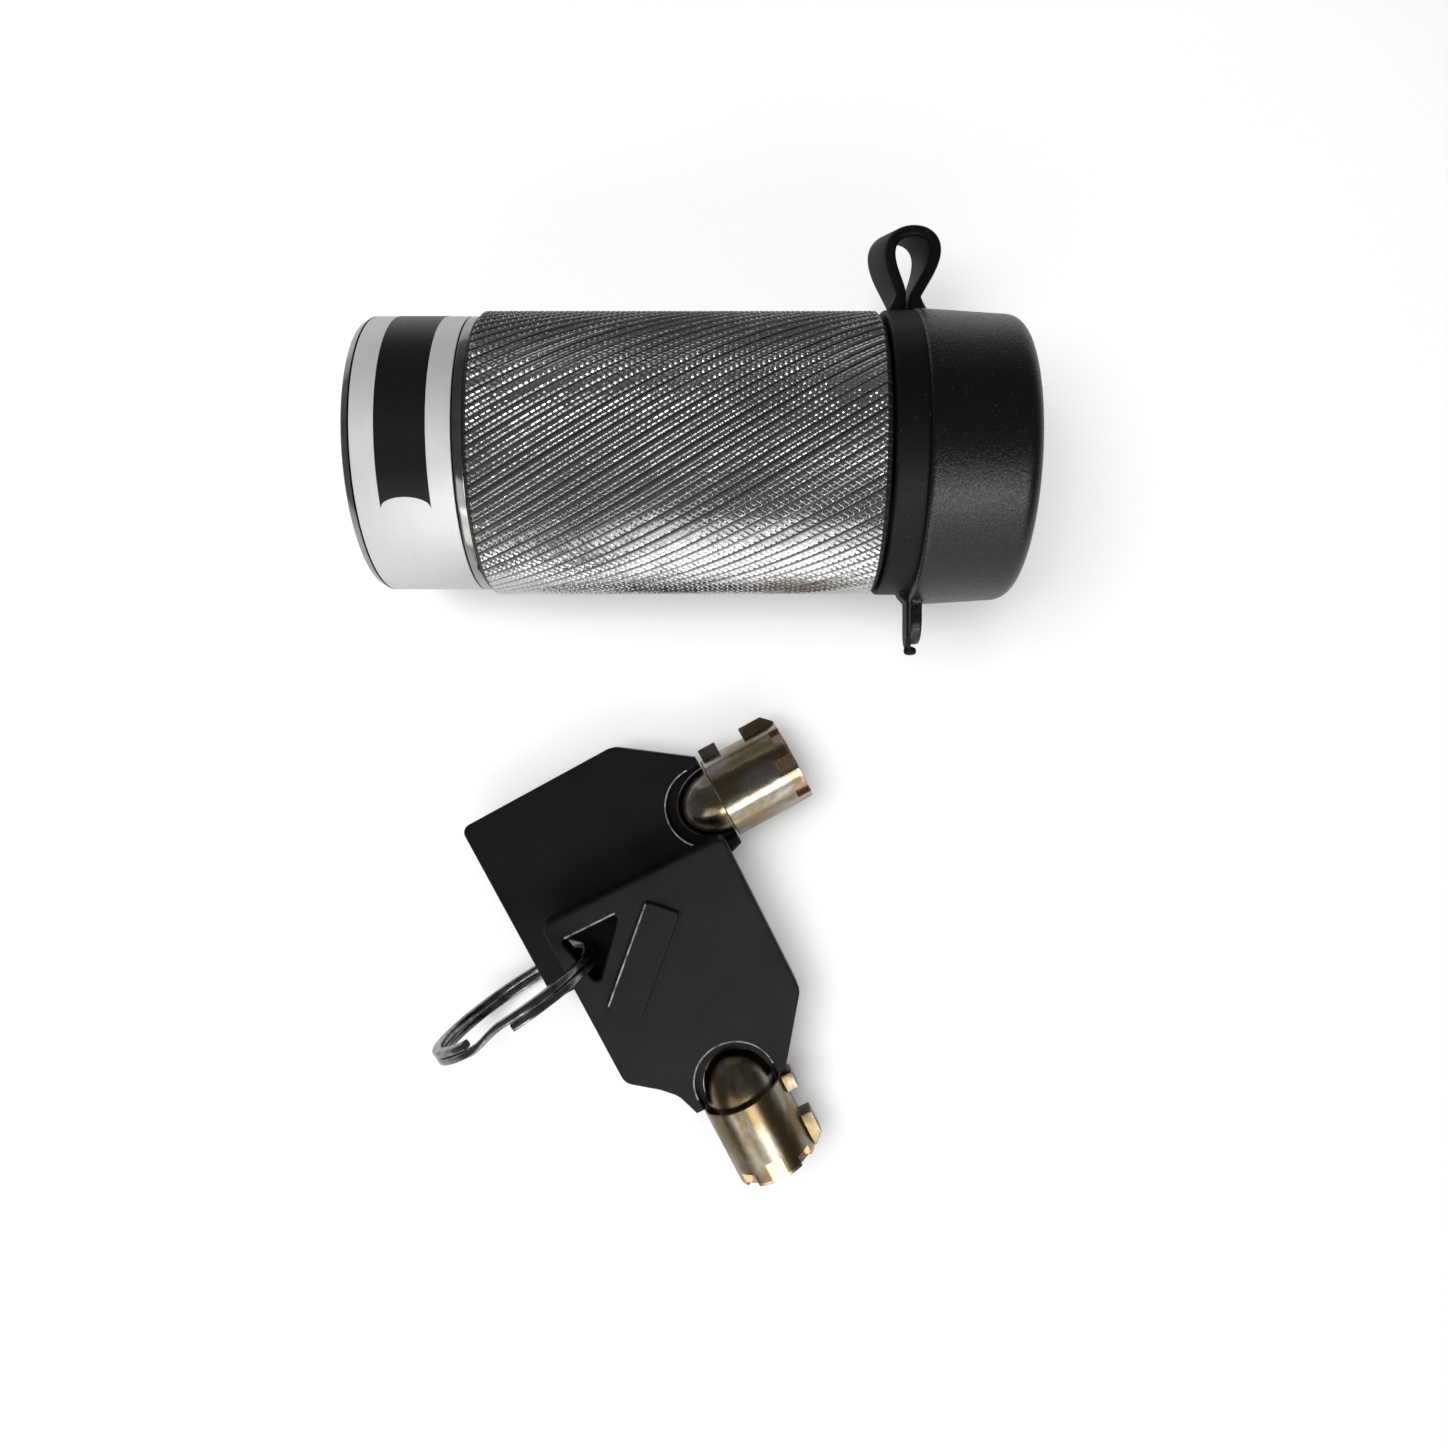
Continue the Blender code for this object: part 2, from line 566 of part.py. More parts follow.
def make_spindle(lock, finish):
    tang_x = CAM_END - CAM_BACK
    post_end = CYLINDER_END - FIT
    profile = [
        (tang_x, 0), (tang_x, TANG_R), (CAM_END + FIT, TANG_R), (CAM_END + FIT, TAIL_R),
        (SPINDLE_X, TAIL_R), (SPINDLE_X, FLANGE_R), (SHEAR_X, FLANGE_R), (SHEAR_X, POST_R),
        (post_end - FIT, POST_R), (post_end, POST_R - FIT), (post_end, 0),
    ]
    spindle = place_mesh("spindle", turned(profile, 48), lock, finish)
    cuts = bmesh.new()
    for index in range(PIN_COUNT):
        angle = pin_angle(index)
        hole_x = SHEAR_X - DRIVER_LENGTH - SPRING_LENGTH - FIT
        add_rod(cuts, radial(hole_x, PIN_CIRCLE_R, angle), radial(SHEAR_X + FIT, PIN_CIRCLE_R, angle),
                PIN_HOLE_R, TINY_ROUND)
    for side in (-1, 1):
        near, far = sorted((side * TANG_THICK / 2, side * TAIL_R))
        add_block(cuts, (tang_x - FIT, -TAIL_R, near), (CAM_END, TAIL_R, far))
    use_tool(spindle, cuts, "DIFFERENCE", "driver_holes_and_flats")
    nib = bmesh.new()
    half = POST_SLOT / 2
    add_block(nib, (post_end - 2 * POST_SLOT, -half, POST_R - POST_SLOT), (post_end + FIT, half, POST_R + FIT))
    use_tool(spindle, nib, "DIFFERENCE", "nib_slot")
    return spindle


def make_pin_stack(index, lock, steel, brass):
    """One key pin, its driver and its spring, lifted to the shear line."""
    angle = pin_angle(index)
    key_pin = bmesh.new()
    start = SHEAR_X + FIT
    add_rod(key_pin, radial(start, PIN_CIRCLE_R, angle),
            radial(start + KEY_PIN_LENGTHS[index], PIN_CIRCLE_R, angle), PIN_STACK_R, TINY_ROUND)
    place_mesh(f"key_pin_{index + 1}", key_pin, lock, brass, origin=radial(start, PIN_CIRCLE_R, angle))
    driver = bmesh.new()
    back = SHEAR_X - DRIVER_LENGTH
    add_rod(driver, radial(back, PIN_CIRCLE_R, angle), radial(SHEAR_X, PIN_CIRCLE_R, angle), PIN_STACK_R, TINY_ROUND)
    place_mesh(f"driver_pin_{index + 1}", driver, lock, brass, origin=radial(back, PIN_CIRCLE_R, angle))
    coil_r = PIN_STACK_R - SPRING_WIRE_R
    first = back - SPRING_LENGTH + SPRING_WIRE_R
    travel = SPRING_LENGTH - 2 * SPRING_WIRE_R - FIT / 3
    steps = SPRING_TURNS * 8
    centre = radial(0, PIN_CIRCLE_R, angle)
    sections = []
    for i in range(steps + 1):
        turn = 2 * pi * SPRING_TURNS * i / steps
        x = first + travel * i / steps
        ring = []
        for k in range(4):
            along = SPRING_WIRE_R * sin(pi / 2 * k)
            out = coil_r + SPRING_WIRE_R * cos(pi / 2 * k)
            ring.append(centre + radial(x + along, out, turn))
        sections.append(ring)
    spring = add_sweep(bmesh.new(), sections)
    place_mesh(f"pin_spring_{index + 1}", spring, lock, steel, origin=radial(first, PIN_CIRCLE_R, angle))


def make_lock_pin(lock, finish):
    pin = bmesh.new()
    add_rod(pin, radial(LOCK_PIN_X, LOCK_PIN_TIP_R, -pi / 2), radial(LOCK_PIN_X, COLLAR_SEAT_R - FIT, -pi / 2),
            LOCK_PIN_R, SMALL_ROUND)
    origin = radial(LOCK_PIN_X, COLLAR_SEAT_R - FIT, -pi / 2)
    return place_mesh("cylinder_lock_pin", pin, lock, finish, origin=origin)


# ---- rubber collar, strap and cap ----


def tab_outline(near, far, width):
    """A flat tab with a round end, in (y, z), reaching towards -y."""
    half = width / 2
    end = arc((-(far - half), 0.0), half, pi / 2, 3 * pi / 2, 10)
    return [(-near, half)] + end + [(-near, -half)]


def add_tab(shape, outline, low, high):
    corners = add_prism(shape, outline, low, high)
    onto_yz = Matrix(((0, 0, 1, 0), (1, 0, 0, 0), (0, 1, 0, 0), (0, 0, 0, 1)))
    bmesh.ops.transform(shape, matrix=onto_yz, verts=corners)


def make_collar(lock, finish):
    start = KNURL_END + FIT
    inner = COLLAR_SEAT_R + FIT
    bevel = FIT
    profile = [(start, inner), (start, COLLAR_R - bevel), (start + bevel, COLLAR_R),
               (COLLAR_END - bevel, COLLAR_R), (COLLAR_END - FIT / 3, COLLAR_R - bevel),
               (COLLAR_END - FIT / 3, LIP_R + FIT), (COLLAR_END - FIT, LIP_R + FIT), (COLLAR_END - FIT, inner)]
    collar = place_mesh("retaining_collar", turned(profile), lock, finish)
    end = COLLAR_END - FIT / 3
    tab_end = COLLAR_END + COLLAR_TAB_THICK / 6
    tab = bmesh.new()
    outline = tab_outline(COLLAR_R - STRAP_THICK, COLLAR_TAB_REACH, COLLAR_TAB_WIDTH)
    add_tab(tab, outline, tab_end - COLLAR_TAB_THICK, tab_end)
    use_tool(collar, tab, "UNION", "tab")
    gusset = bmesh.new()
    foot = COLLAR_R - FIT * 2
    middle = tab_end - COLLAR_TAB_THICK / 2
    outline = [(middle, -foot), (tab_end - COLLAR_GUSSET, -foot), (tab_end - COLLAR_GUSSET, -COLLAR_R - FIT),
               (middle, -COLLAR_R - COLLAR_GUSSET)]
    add_prism(gusset, outline, -COLLAR_TAB_WIDTH / 2 + FIT, COLLAR_TAB_WIDTH / 2 - FIT)
    use_tool(collar, gusset, "UNION", "gusset")
    nub = bmesh.new()
    across = COLLAR_TAB_REACH + COLLAR_NUB_R / 2
    half = COLLAR_NUB_LENGTH / 2
    add_rod(nub, (tab_end - half, -across, 0), (tab_end + half, -across, 0), COLLAR_NUB_R, TINY_ROUND)
    use_tool(collar, nub, "UNION", "nub")
    return collar


def make_cap(lock, finish):
    inner = CAP_RIM_R - CAP_WALL
    inner_end = CAP_END_R - CAP_WALL
    floor = CAP_END - CAP_END_WALL
    corner = arc((CAP_END - CAP_CORNER_R, CAP_END_R - CAP_CORNER_R), CAP_CORNER_R, 0, pi / 2, 6)
    profile = [(floor, 0), (CAP_END, 0)] + corner
    profile += [(CAP_START + FIT, CAP_RIM_R), (CAP_START, CAP_RIM_R - FIT), (CAP_START, inner), (floor, inner_end)]
    cup = turned(profile)
    sag = Vector((0, -CAP_SAG, 0))
    bmesh.ops.translate(cup, verts=cup.verts, vec=sag)
    hinge = (CAP_START - FIT / 2, CAP_HINGE_R, 0.0)
    cap = place_mesh("dust_cap", cup, lock, finish, origin=hinge)
    tab = bmesh.new()
    start = CAP_START + FIT / 3
    outline = tab_outline(CAP_RIM_R - CAP_WALL / 2, CAP_TAB_REACH, CAP_TAB_WIDTH)
    add_tab(tab, outline, start, start + CAP_TAB_THICK)
    bmesh.ops.translate(tab, verts=tab.verts, vec=sag)
    use_tool(cap, tab, "UNION", "pull_tab", origin=hinge)
    return cap


def strap_path(steps=32):
    """(x, y, thickness) along the strap: up from the collar, round a teardrop and down to the cap's rim."""
    top = STRAP_TOP - STRAP_THICK / 2
    middle = CAP_START - FIT / 2
    first = radians(38)
    half_height = (top - STRAP_PINCH_R) / (1 + cos(first))
    points = []
    for i in range(steps + 1):
        turn = first + (2 * pi - 2 * first) * i / steps
        bulge = STRAP_HALF_WIDTH * abs(sin(turn)) * sin(turn / 2) ** 1.6 / 0.69
        swing = sqrt(bulge ** 2 + STRAP_PINCH ** 2 * cos(turn / 2) ** 2 / cos(first / 2) ** 2)
        side = -1 if turn < pi else 1
        points.append((middle + side * swing, top - half_height * (1 + cos(turn)), STRAP_THICK))
    ends = []
    for side, base in ((-1, COLLAR_R), (1, CAP_RIM_R - CAP_SAG)):
        waist = (base + STRAP_PINCH_R) / 2
        ends.append([(middle + side * (STRAP_ROOT / 2 + FIT / 2), base + FIT / 2, STRAP_ROOT),
                     (middle + side * (STRAP_ROOT + STRAP_THICK) / 3.8, waist, (STRAP_ROOT + STRAP_THICK) / 2.3)])
    return ends[0] + points + ends[1][::-1]


def make_strap(lock, finish):
    path = strap_path()
    last = len(path) - 1
    sections = []
    for i, (x, y, thickness) in enumerate(path):
        before, after = path[max(i - 1, 0)], path[min(i + 1, last)]
        along = Vector((after[0] - before[0], after[1] - before[1], 0))
        if i in (0, last):
            along = Vector((0, 1 if i == 0 else -1, 0))
        normal = Vector((-along.y, along.x, 0)).normalized() * thickness / 2
        share = sin(pi * i / last) ** 0.8
        side = Vector((0, 0, -1)).lerp(STRAP_LEAN.normalized(), share) * STRAP_WIDTH / 2
        centre = Vector((x, y, 0))
        sections.append([centre + normal + side, centre + normal - side, centre - normal - side,
                         centre - normal + side])
    return place_mesh("strap_loop", add_sweep(bmesh.new(), sections), lock, finish)


# ---- keys ----


def bow_outline():
    sides = []
    for side in (-1, 1):
        corners = [(0, BOW_WIDTH), (BOW_STRAIGHT, BOW_WIDTH), (BOW_WAIST, BOW_WAIST_WIDTH), (BOW_LENGTH, BOW_NECK)]
        sides.append([(d, (BOW_WIDTH + side * width) / 2) for d, width in corners])
    radii = [BOW_CORNER_R, BOW_SHOULDER_R, BOW_CORNER_R, 0]
    return rounded(sides[0] + sides[1][::-1], radii + radii[::-1])


def window_outline():
    """Round-ended window in the bow, open towards the tube."""
    middle = BOW_WIDTH / 2
    past = BOW_LENGTH + WINDOW_R
    return [(past, middle - WINDOW_R)] + arc((WINDOW_CENTRE, middle), WINDOW_R, -pi / 2, -3 * pi / 2, 20) + [
        (past, middle + WINDOW_R)]


def make_bow(name, key, pivot, finish):
    shift = Vector((-pivot[0], -pivot[1], 0))
    half = BOW_THICK / 2

    def drawn(shape):
        bmesh.ops.translate(shape, verts=shape.verts, vec=shift)
        return shape

    plate = bmesh.new()
    add_prism(plate, bow_outline(), -half, half)
    bow = place_mesh(name, drawn(plate), key, finish)
    cuts = bmesh.new()
    add_prism(cuts, window_outline(), -BOW_THICK, BOW_THICK)
    add_prism(cuts, rounded(EYELET, (FIT, FIT, FIT), 3), -BOW_THICK, BOW_THICK)
    use_tool(bow, drawn(cuts), "DIFFERENCE", "window_and_eyelet")
    pocket = bmesh.new()
    middle = BOW_WIDTH / 2
    wide, thick = TANG_WIDTH / 2 + FIT, KEY_TANG_THICK / 2 + FIT
    tang_end = TUBE_START - DOME_LENGTH - TANG_LENGTH
    add_block(pocket, (tang_end - FIT, middle - wide, -thick), (BOW_LENGTH, middle + wide, thick))
    use_tool(bow, drawn(pocket), "DIFFERENCE", "tang_pocket")
    bar = bmesh.new()
    long, wide = BAR_LENGTH / 2, BAR_WIDTH / 2
    corners = rounded(((-long, -wide), (long, -wide), (long, wide), (-long, wide)), (2 * FIT,) * 4, 3)
    verts = add_prism(bar, corners, half - BAR_HEIGHT, half + BAR_HEIGHT)
    turn = Matrix.Translation((*BAR_CENTRE, 0)) @ Matrix.Rotation(BAR_ANGLE, 4, "Z")
    bmesh.ops.transform(bar, matrix=turn, verts=verts)
    use_tool(bow, drawn(bar), "UNION", "bar")
    return bow


def make_key_tube(name, key, pivot, finish):
    origin = Vector((-pivot[0], BOW_WIDTH / 2 - pivot[1], 0))
    dome_steps = 7
    dome = []
    for i in range(dome_steps):
        turn = pi / 2 * i / dome_steps
        dome.append((TUBE_START - DOME_LENGTH * cos(turn), DOME_R * sin(turn)))
    dome[0] = (dome[0][0], 0)
    bore_x = TUBE_START + KEY_TUBE_R - KEY_BORE_R
    profile = dome + [(TUBE_START, DOME_R), (TUBE_START, KEY_TUBE_R), (KEY_LENGTH, KEY_TUBE_R),
                      (KEY_LENGTH, KEY_BORE_R), (bore_x, KEY_BORE_R), (bore_x, 0)]
    tube_shape = turned(profile, 40)
    bmesh.ops.translate(tube_shape, verts=tube_shape.verts, vec=origin)
    tube = place_mesh(name, tube_shape, key, finish)

    extras = bmesh.new()
    tang_end = TUBE_START - DOME_LENGTH - TANG_LENGTH
    half_wide, half_thick = TANG_WIDTH / 2, KEY_TANG_THICK / 2
    add_block(extras, (tang_end, -half_wide, -half_thick), (TUBE_START - DOME_LENGTH / 2, half_wide, half_thick))
    for offset, length, chamfer in LUGS:
        start = TUBE_START + offset
        root = KEY_TUBE_R - (KEY_TUBE_R - KEY_BORE_R) / 2
        crest = KEY_TUBE_R + LUG_HEIGHT
        outline = [(start, root), (start + length, root), (start + length, crest - chamfer),
                   (start + length - chamfer, crest), (start, crest)]
        outline = list(dict.fromkeys(outline))
        add_prism(extras, outline, -LUG_WIDTH / 2, LUG_WIDTH / 2)
    bmesh.ops.translate(extras, verts=extras.verts, vec=origin)
    use_tool(tube, extras, "UNION", "tang_and_lugs")

    cuts = bmesh.new()
    inner, outer = KEY_TUBE_R - BITTING_DEPTH, KEY_TUBE_R + LUG_HEIGHT / 2
    for index, depth in enumerate(BITTING):
        angle = 2 * pi * (index + 1) / PIN_PLACES
        turn = Matrix.Rotation(angle, 4, "X")
        half = BITTING_WIDTH / 2
        add_block(cuts, (KEY_LENGTH - depth, inner, -half), (KEY_LENGTH + FIT, outer, half), turn)
    bmesh.ops.translate(cuts, verts=cuts.verts, vec=origin)
    use_tool(tube, cuts, "DIFFERENCE", "bitting")
    return tube


# ---- split ring ----


def ring_axes():
    """Directions in the ring's plane (level, then upward) and its normal."""
    level = Vector((cos(RING_HEADING), sin(RING_HEADING), 0))
    side = Vector((sin(RING_HEADING), -cos(RING_HEADING), 0))
    upward = Vector((0, 0, 1)) * cos(RING_LEAN) + side * sin(RING_LEAN)
    return level, upward, level.cross(upward)


def ring_centre():
    outer = RING_R + RING_WIRE_RADIAL / 2
    half = (RING_PITCH + RING_WIRE_AXIAL) / 2
    return Vector((RING_PLACE.x, RING_PLACE.y, outer * cos(RING_LEAN) + half * sin(RING_LEAN)))


def ring_point(height):
    """Where the middle of the wire passes this height, on the keys' side."""
    level, upward, _ = ring_axes()
    centre = ring_centre()
    angle = asin((height - centre.z) / (RING_R * upward.z))
    return centre + RING_R * (cos(angle) * level + sin(angle) * upward)


def make_ring(ring, finish):
    """Flat wire wound twice round, stepping across to the second turn between its own two ends."""
    level, upward, normal = ring_axes()
    start = RING_SPLIT + RING_JOG / 2
    total = 4 * pi - RING_JOG - radians(4)
    jog_start = 2 * pi - RING_JOG
    steps = 116
    sections = []
    for i in range(steps + 1):
        along = total * i / steps
        share = min(max((along - jog_start) / RING_JOG, 0.0), 1.0)
        across = RING_PITCH * (share * share * (3 - 2 * share) - 0.5)
        out = cos(start + along) * level + sin(start + along) * upward
        section = []
        for radial_side, axial_side in ((-1, -1), (1, -1), (1, 1), (-1, 1)):
            reach = RING_R + radial_side * RING_WIRE_RADIAL / 2
            section.append(out * reach + normal * (across + axial_side * RING_WIRE_AXIAL / 2))
        sections.append(section)
    return place_mesh("split_ring", add_sweep(bmesh.new(), sections), ring, finish)


def key_empty(index, ring):
    """Frame of one key: its origin is where the ring passes through it, and the end of its tube lies down."""
    pivot = ring_point(KEY_HEIGHTS[index])
    tilt = asin((pivot.z - KEY_TUBE_R) / (KEY_LENGTH - EYELET_PIVOTS[index][0]))
    turn = Matrix.Rotation(KEY_HEADINGS[index], 3, "Z") @ Matrix.Rotation(tilt, 3, "Y")
    return empty(f"key_{index + 1}_pivot", pivot, turn, ring)


def main():
    clear_scene()
    chrome = material("knurled_chrome", (0.62, 0.62, 0.60), 0.22, 1.0)
    label = material("brushed_label", (0.78, 0.78, 0.79), 0.35, 1.0)
    steel = material("turned_steel", (0.50, 0.50, 0.50), 0.35, 1.0)
    spring_steel = material("spring_steel", (0.38, 0.38, 0.39), 0.30, 1.0)
    zinc = material("zinc_casting", (0.60, 0.60, 0.61), 0.40, 1.0)
    brass = material("brass", (0.72, 0.56, 0.28), 0.30, 1.0)
    rubber = material("black_rubber", (0.018, 0.018, 0.018), 0.60)
    seal = material("seal_rubber", (0.03, 0.03, 0.03), 0.70)
    plastic = material("bow_plastic", (0.022, 0.022, 0.023), 0.55)
    nickel = material("nickel", (0.66, 0.62, 0.55), 0.18, 1.0)
    ring_steel = material("ring_steel", (0.55, 0.54, 0.52), 0.22, 1.0)

    lock = empty("lock_axis", LOCK_PLACE)
    make_barrel(lock, chrome)
    make_label(lock, label)
    make_front_bush(lock, steel)
    make_pin_seal(lock, seal)
    make_ball_guide(lock, steel)
    make_balls(lock, steel)
    make_cam_ring(lock, steel)
    make_cylinder(lock, zinc)
    make_circlip(lock, spring_steel)
    make_washer(lock, steel)
    make_pin_bushing(lock, brass)
    make_spindle(lock, brass)
    for index in range(PIN_COUNT):
        make_pin_stack(index, lock, spring_steel, brass)
    make_lock_pin(lock, spring_steel)
    make_collar(lock, rubber)
    make_strap(lock, rubber)
    make_cap(lock, rubber)

    ring = empty("ring_centre", ring_centre())
    make_ring(ring, ring_steel)
    for index in range(len(KEY_HEADINGS)):
        key = key_empty(index, ring)
        make_bow(f"key_{index + 1}_bow", key, EYELET_PIVOTS[index], plastic)
        make_key_tube(f"key_{index + 1}_tube", key, EYELET_PIVOTS[index], nickel)


main()
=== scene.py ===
"""Looks for the hitch pin lock: knurled chrome barrel with a label band, rubber collar, strap and dust cap,
and two tubular keys on a split ring.

Shapes are drawn in millimetres and become metres when a piece is made. The lock is drawn in its own frame:
x from the pin-entry face along the barrel's axis, y and z from the axis. A key is drawn in its own frame too:
x from the bow's ring end towards the tube, y across the bow, z from the middle of its thickness.
"""

import json
from math import acos, atan2, cos, hypot, pi, radians, sin, sqrt, tan

import bmesh
import bpy
import numpy as np
from mathutils import Matrix, Vector


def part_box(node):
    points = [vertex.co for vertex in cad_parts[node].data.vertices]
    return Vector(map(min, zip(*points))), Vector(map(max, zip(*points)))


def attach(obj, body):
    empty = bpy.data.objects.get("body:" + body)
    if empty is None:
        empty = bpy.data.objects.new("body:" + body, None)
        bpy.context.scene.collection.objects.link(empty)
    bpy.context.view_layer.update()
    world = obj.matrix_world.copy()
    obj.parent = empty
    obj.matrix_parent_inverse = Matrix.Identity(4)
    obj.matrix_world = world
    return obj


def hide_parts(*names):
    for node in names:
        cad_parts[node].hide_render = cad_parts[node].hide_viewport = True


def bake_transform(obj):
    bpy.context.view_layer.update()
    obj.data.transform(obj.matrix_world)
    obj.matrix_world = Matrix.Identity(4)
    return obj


MM = 0.001

# Clearances and soft edges
FIT = 0.3
EDGE = 0.08  # radius of a broken edge on turned metal
EDGE_STEPS = 3

# Barrel
NOSE_BEVEL = 0.88
NOSE_BREAK = 0.22  # where the bevel turns steeper, from the face
NOSE_DROP = 0.36  # of the bevel down to there
SEAT_STEP = 0.9  # the collar's seat over the neck under the dust cap
LIP_LENGTH = 0.9
LIP_HEIGHT = 0.3
LAND = 0.92  # polished ring between label and knurl
KNURL_CHAMFER = 0.5
SLEEVE_DEPTH = 0.9  # of the knurled layer under the smooth section's radius
SLEEVE_ENDS = 0.02  # gap between the knurled layer and the core at its ends, and under it
SLEEVE_UNDER = 0.03
CAM_PLAY = 0.7  # behind the cam ring
BUSH_CHAMFER = 0.8
SEAL_PLAY = 0.2
KEYWAY_PLAY = 0.2
LOCK_FRONT = 1.8  # thickness of the lock's face round the keyway
ROUND = 192

# Knurl. Each family of grooves is one period of (share of the pitch, height). The first is cut like saw
# teeth, deep and shallow, with their steep sides the same way; the second crosses it at half its pitch
KNURL_GROOVES = 73
KNURL_HELIX = radians(31)
TEETH = ((0.0, -0.22), (0.22, -0.115), (0.44, -0.025), (0.54, -0.105), (0.68, -0.045), (0.80, 0.0),
         (0.84, -0.01))
CROSS = ((0.0, -0.17), (0.11, 0.0), (0.25, 0.0), (0.39, 0.0), (0.50, -0.15), (0.61, 0.0), (0.75, 0.0),
         (0.89, 0.0))
LINE_SPREAD = 0.10  # how much the first family's lines differ in depth
CROSS_SHARE = 0.75  # of the second family's depth, and how far it comes and goes round the barrel
CROSS_FADE = 0.35
KNURL_ROUGHNESS = 0.004  # random height of each point
KNURL_SEED = 11

# Label
LABEL_EDGE = 0.06
BAND_MARGIN = 2.30  # bare foil on either side of the dark band
BAND_PROUD = 0.03
BAND_TIP = radians(33.6)  # the band's swallow tail, from the top of the barrel
BAND_NOTCH = radians(29.0)
BAND_FAR = radians(150)
FOIL_STROKES = (14, 0.35, 0.35)  # strokes per millimetre along each axis

# Rubber
RUBBER_EDGE = 0.25
CAP_VOXEL = 0.17
COLLAR_VOXEL = 0.13
CAP_CORNER = 1.7
CAP_WALL = 2.2
CAP_END_WALL = 2.0
CAP_FLARE = 0.55
CAP_SAG = 0.45
CAP_TAB_WIDTH = 4.8
CAP_TAB_THICK = 1.3
COLLAR_TAB_WIDTH = 3.0
COLLAR_TAB_THICK = 0.6
COLLAR_GUSSET = 1.3
NUB_R = 0.45
NUB_LENGTH = 1.4
STRAP_WIDTH = 5.0
STRAP_THICK = 1.15
STRAP_ROOT = 2.2
STRAP_HALF_WIDTH = 2.3
STRAP_PINCH = 0.66
STRAP_NECK = 1.0
STRAP_WAIST = (1 / 3.8, 1 / 2.3)  # its place and thickness, as shares of root and ribbon together
STRAP_LOOP = 7.75
STRAP_CORNER = 0.36  # share of its thickness
STRAP_TURN = radians(38)  # where the loop leaves the neck, from straight down
STRAP_BELLY = 1.6  # how far up the teardrop's widest place is, and the largest value of its curve
STRAP_BELLY_PEAK = 0.69
STRAP_LEAN = Vector((-0.34, 0.18, -0.92))

# Keys
KEY_HEADINGS = (radians(-63.6), radians(28.6))
BOW_THICK = 3.0
BOW_EDGE = 0.28
BOW_SHOULDER = ((20.1, 0), (22.6, 3.1), (24.2, 4.6))  # the side with a hollow curve
BOW_TAPER = 19.4  # where the other side starts to draw in
BOW_CORNERS = (1.0, 1.8, 3.0, 3.0, 0, 0, 2.2, 1.0)
BOW_FINISHES = ("bow_plastic", "rubbed_highlight_plastic", "matt_rubber")
# slots of the pale rubbed edges, worn and painted highlight, and of the dark matt parts, painted shade
RUBBED_HIGHLIGHT, SHADED = 1, 2
PLATINGS = ("tarnished_nickel", "nickel")
WINDOW_R = 4.45
WINDOW_INSET = 1.5
WINDOW_LIP = 0.32
WINDOW_LIP_PROUD = 0.12
LIP_ROOT = 0.5  # from its crest down into the bow
LIP_EDGE = 0.08
LIP_CROWN = 0.02
SHADE_WEB_LEVELS = (-1.0, 0.35)  # of the dark web, painted shade, between the window's wall and the tube's domed nose
SHADE_WEB_GAP = 0.1
EYELET = ((2.3, 1.2), (8.7, 2.6), (2.3, 8.3))
EYELET_SCALES = (1.0, 0.62)  # the second key's is hidden; smaller, it shows dark under the first one's
EYELET_CORNERS = (0.5, 1.7)
EYELET_RIM = 0.5  # from the pale rubbed edge, a painted highlight, to the eyelet's corners
RIM_WIDTH = 0.15  # of a rubbed edge, whose pale tone is a painted highlight
RIM_DEPTH = 0.2
RIM_PROUD = 0.04
BAR_SIDES = (1, -1)  # the second key lies with its bar down
BAR_CENTRE = (8.4, 8.2)
BAR_LENGTH = 12.9
BAR_WIDTH = 4.0
BAR_HEIGHT = 0.5
BAR_CORNER = 0.6
BAR_EDGE = 0.2
BAR_ANGLE = radians(-46)
BAR_RIM = (0.3, 0.5)  # from the pale rubbed edge, a painted highlight, to the bar's ends
BAR_RIM_PROUD = 0.02
BAR_SHADE = 0.38  # width of the dark matt foot along its two shaded sides, painted as their shadow
DOME_R = 4.0
DOME_LENGTH = 5.1
TANG = (2.5, 0.3)  # half the width and thickness of the blade in the bow
KEY_WALL = 1.2
KEY_CHAMFERS = (0.12, 0.08)  # at the bow and at the open end
LUG_WIDTH = 2.2
LUG_HEIGHT = 1.2
LUG_EDGE = 0.08
LUG_CORNER = 0.1
LUGS = ((0.3, 2.1, 0.0), (5.5, 3.9, 1.1))  # start on the tube, length, chamfer
BITTING = (1.2, 2.4, 1.6, 3.0, 0.9, 2.0, 2.6)
BITTING_WIDTH = 1.9
BITTING_DEPTH = 0.6
CUT_RIM = 0.4  # how far the cutter bared the brass round the tube's end
PIN_PLACES = 8
TUBE_ROUND = 128

# Split ring
RING_R = 9.5
WIRE_RADIAL = 1.1
WIRE_AXIAL = 0.8
WIRE_PITCH = 0.88
WIRE_CORNER = 0.22
RING_LEAN = radians(3.0)
RING_HEADING = radians(32.0)
RING_SPLIT = radians(102.0)
RING_JOG = radians(28.0)
RING_GAP = radians(4.0)  # between the wire's ends and the jog

# Stage. The floor is white round the object; mirrored rays see it dimmer and greyer
FLOOR_R = 4000
FLOOR_DROP = 0.02
FLOOR_GREYS = (0.46, 0.62)  # further off, and near
FLOOR_FADE = (0.11, 0.17)  # where near ends and far begins, in metres
FLOOR_GLOW = 0.42
MIRRORED_GLOW = 0.48  # share of the glow
SHADE_REACH = 8.0  # of the soft dark rim under the object
BACKDROP = 0.82
# Sine of the height over the horizon, and how bright the room is there
SKY = ((0.0, 0.18), (0.08, 0.13), (0.22, 0.10), (0.40, 0.075), (0.66, 0.065), (0.80, 0.075), (1.0, 0.09))
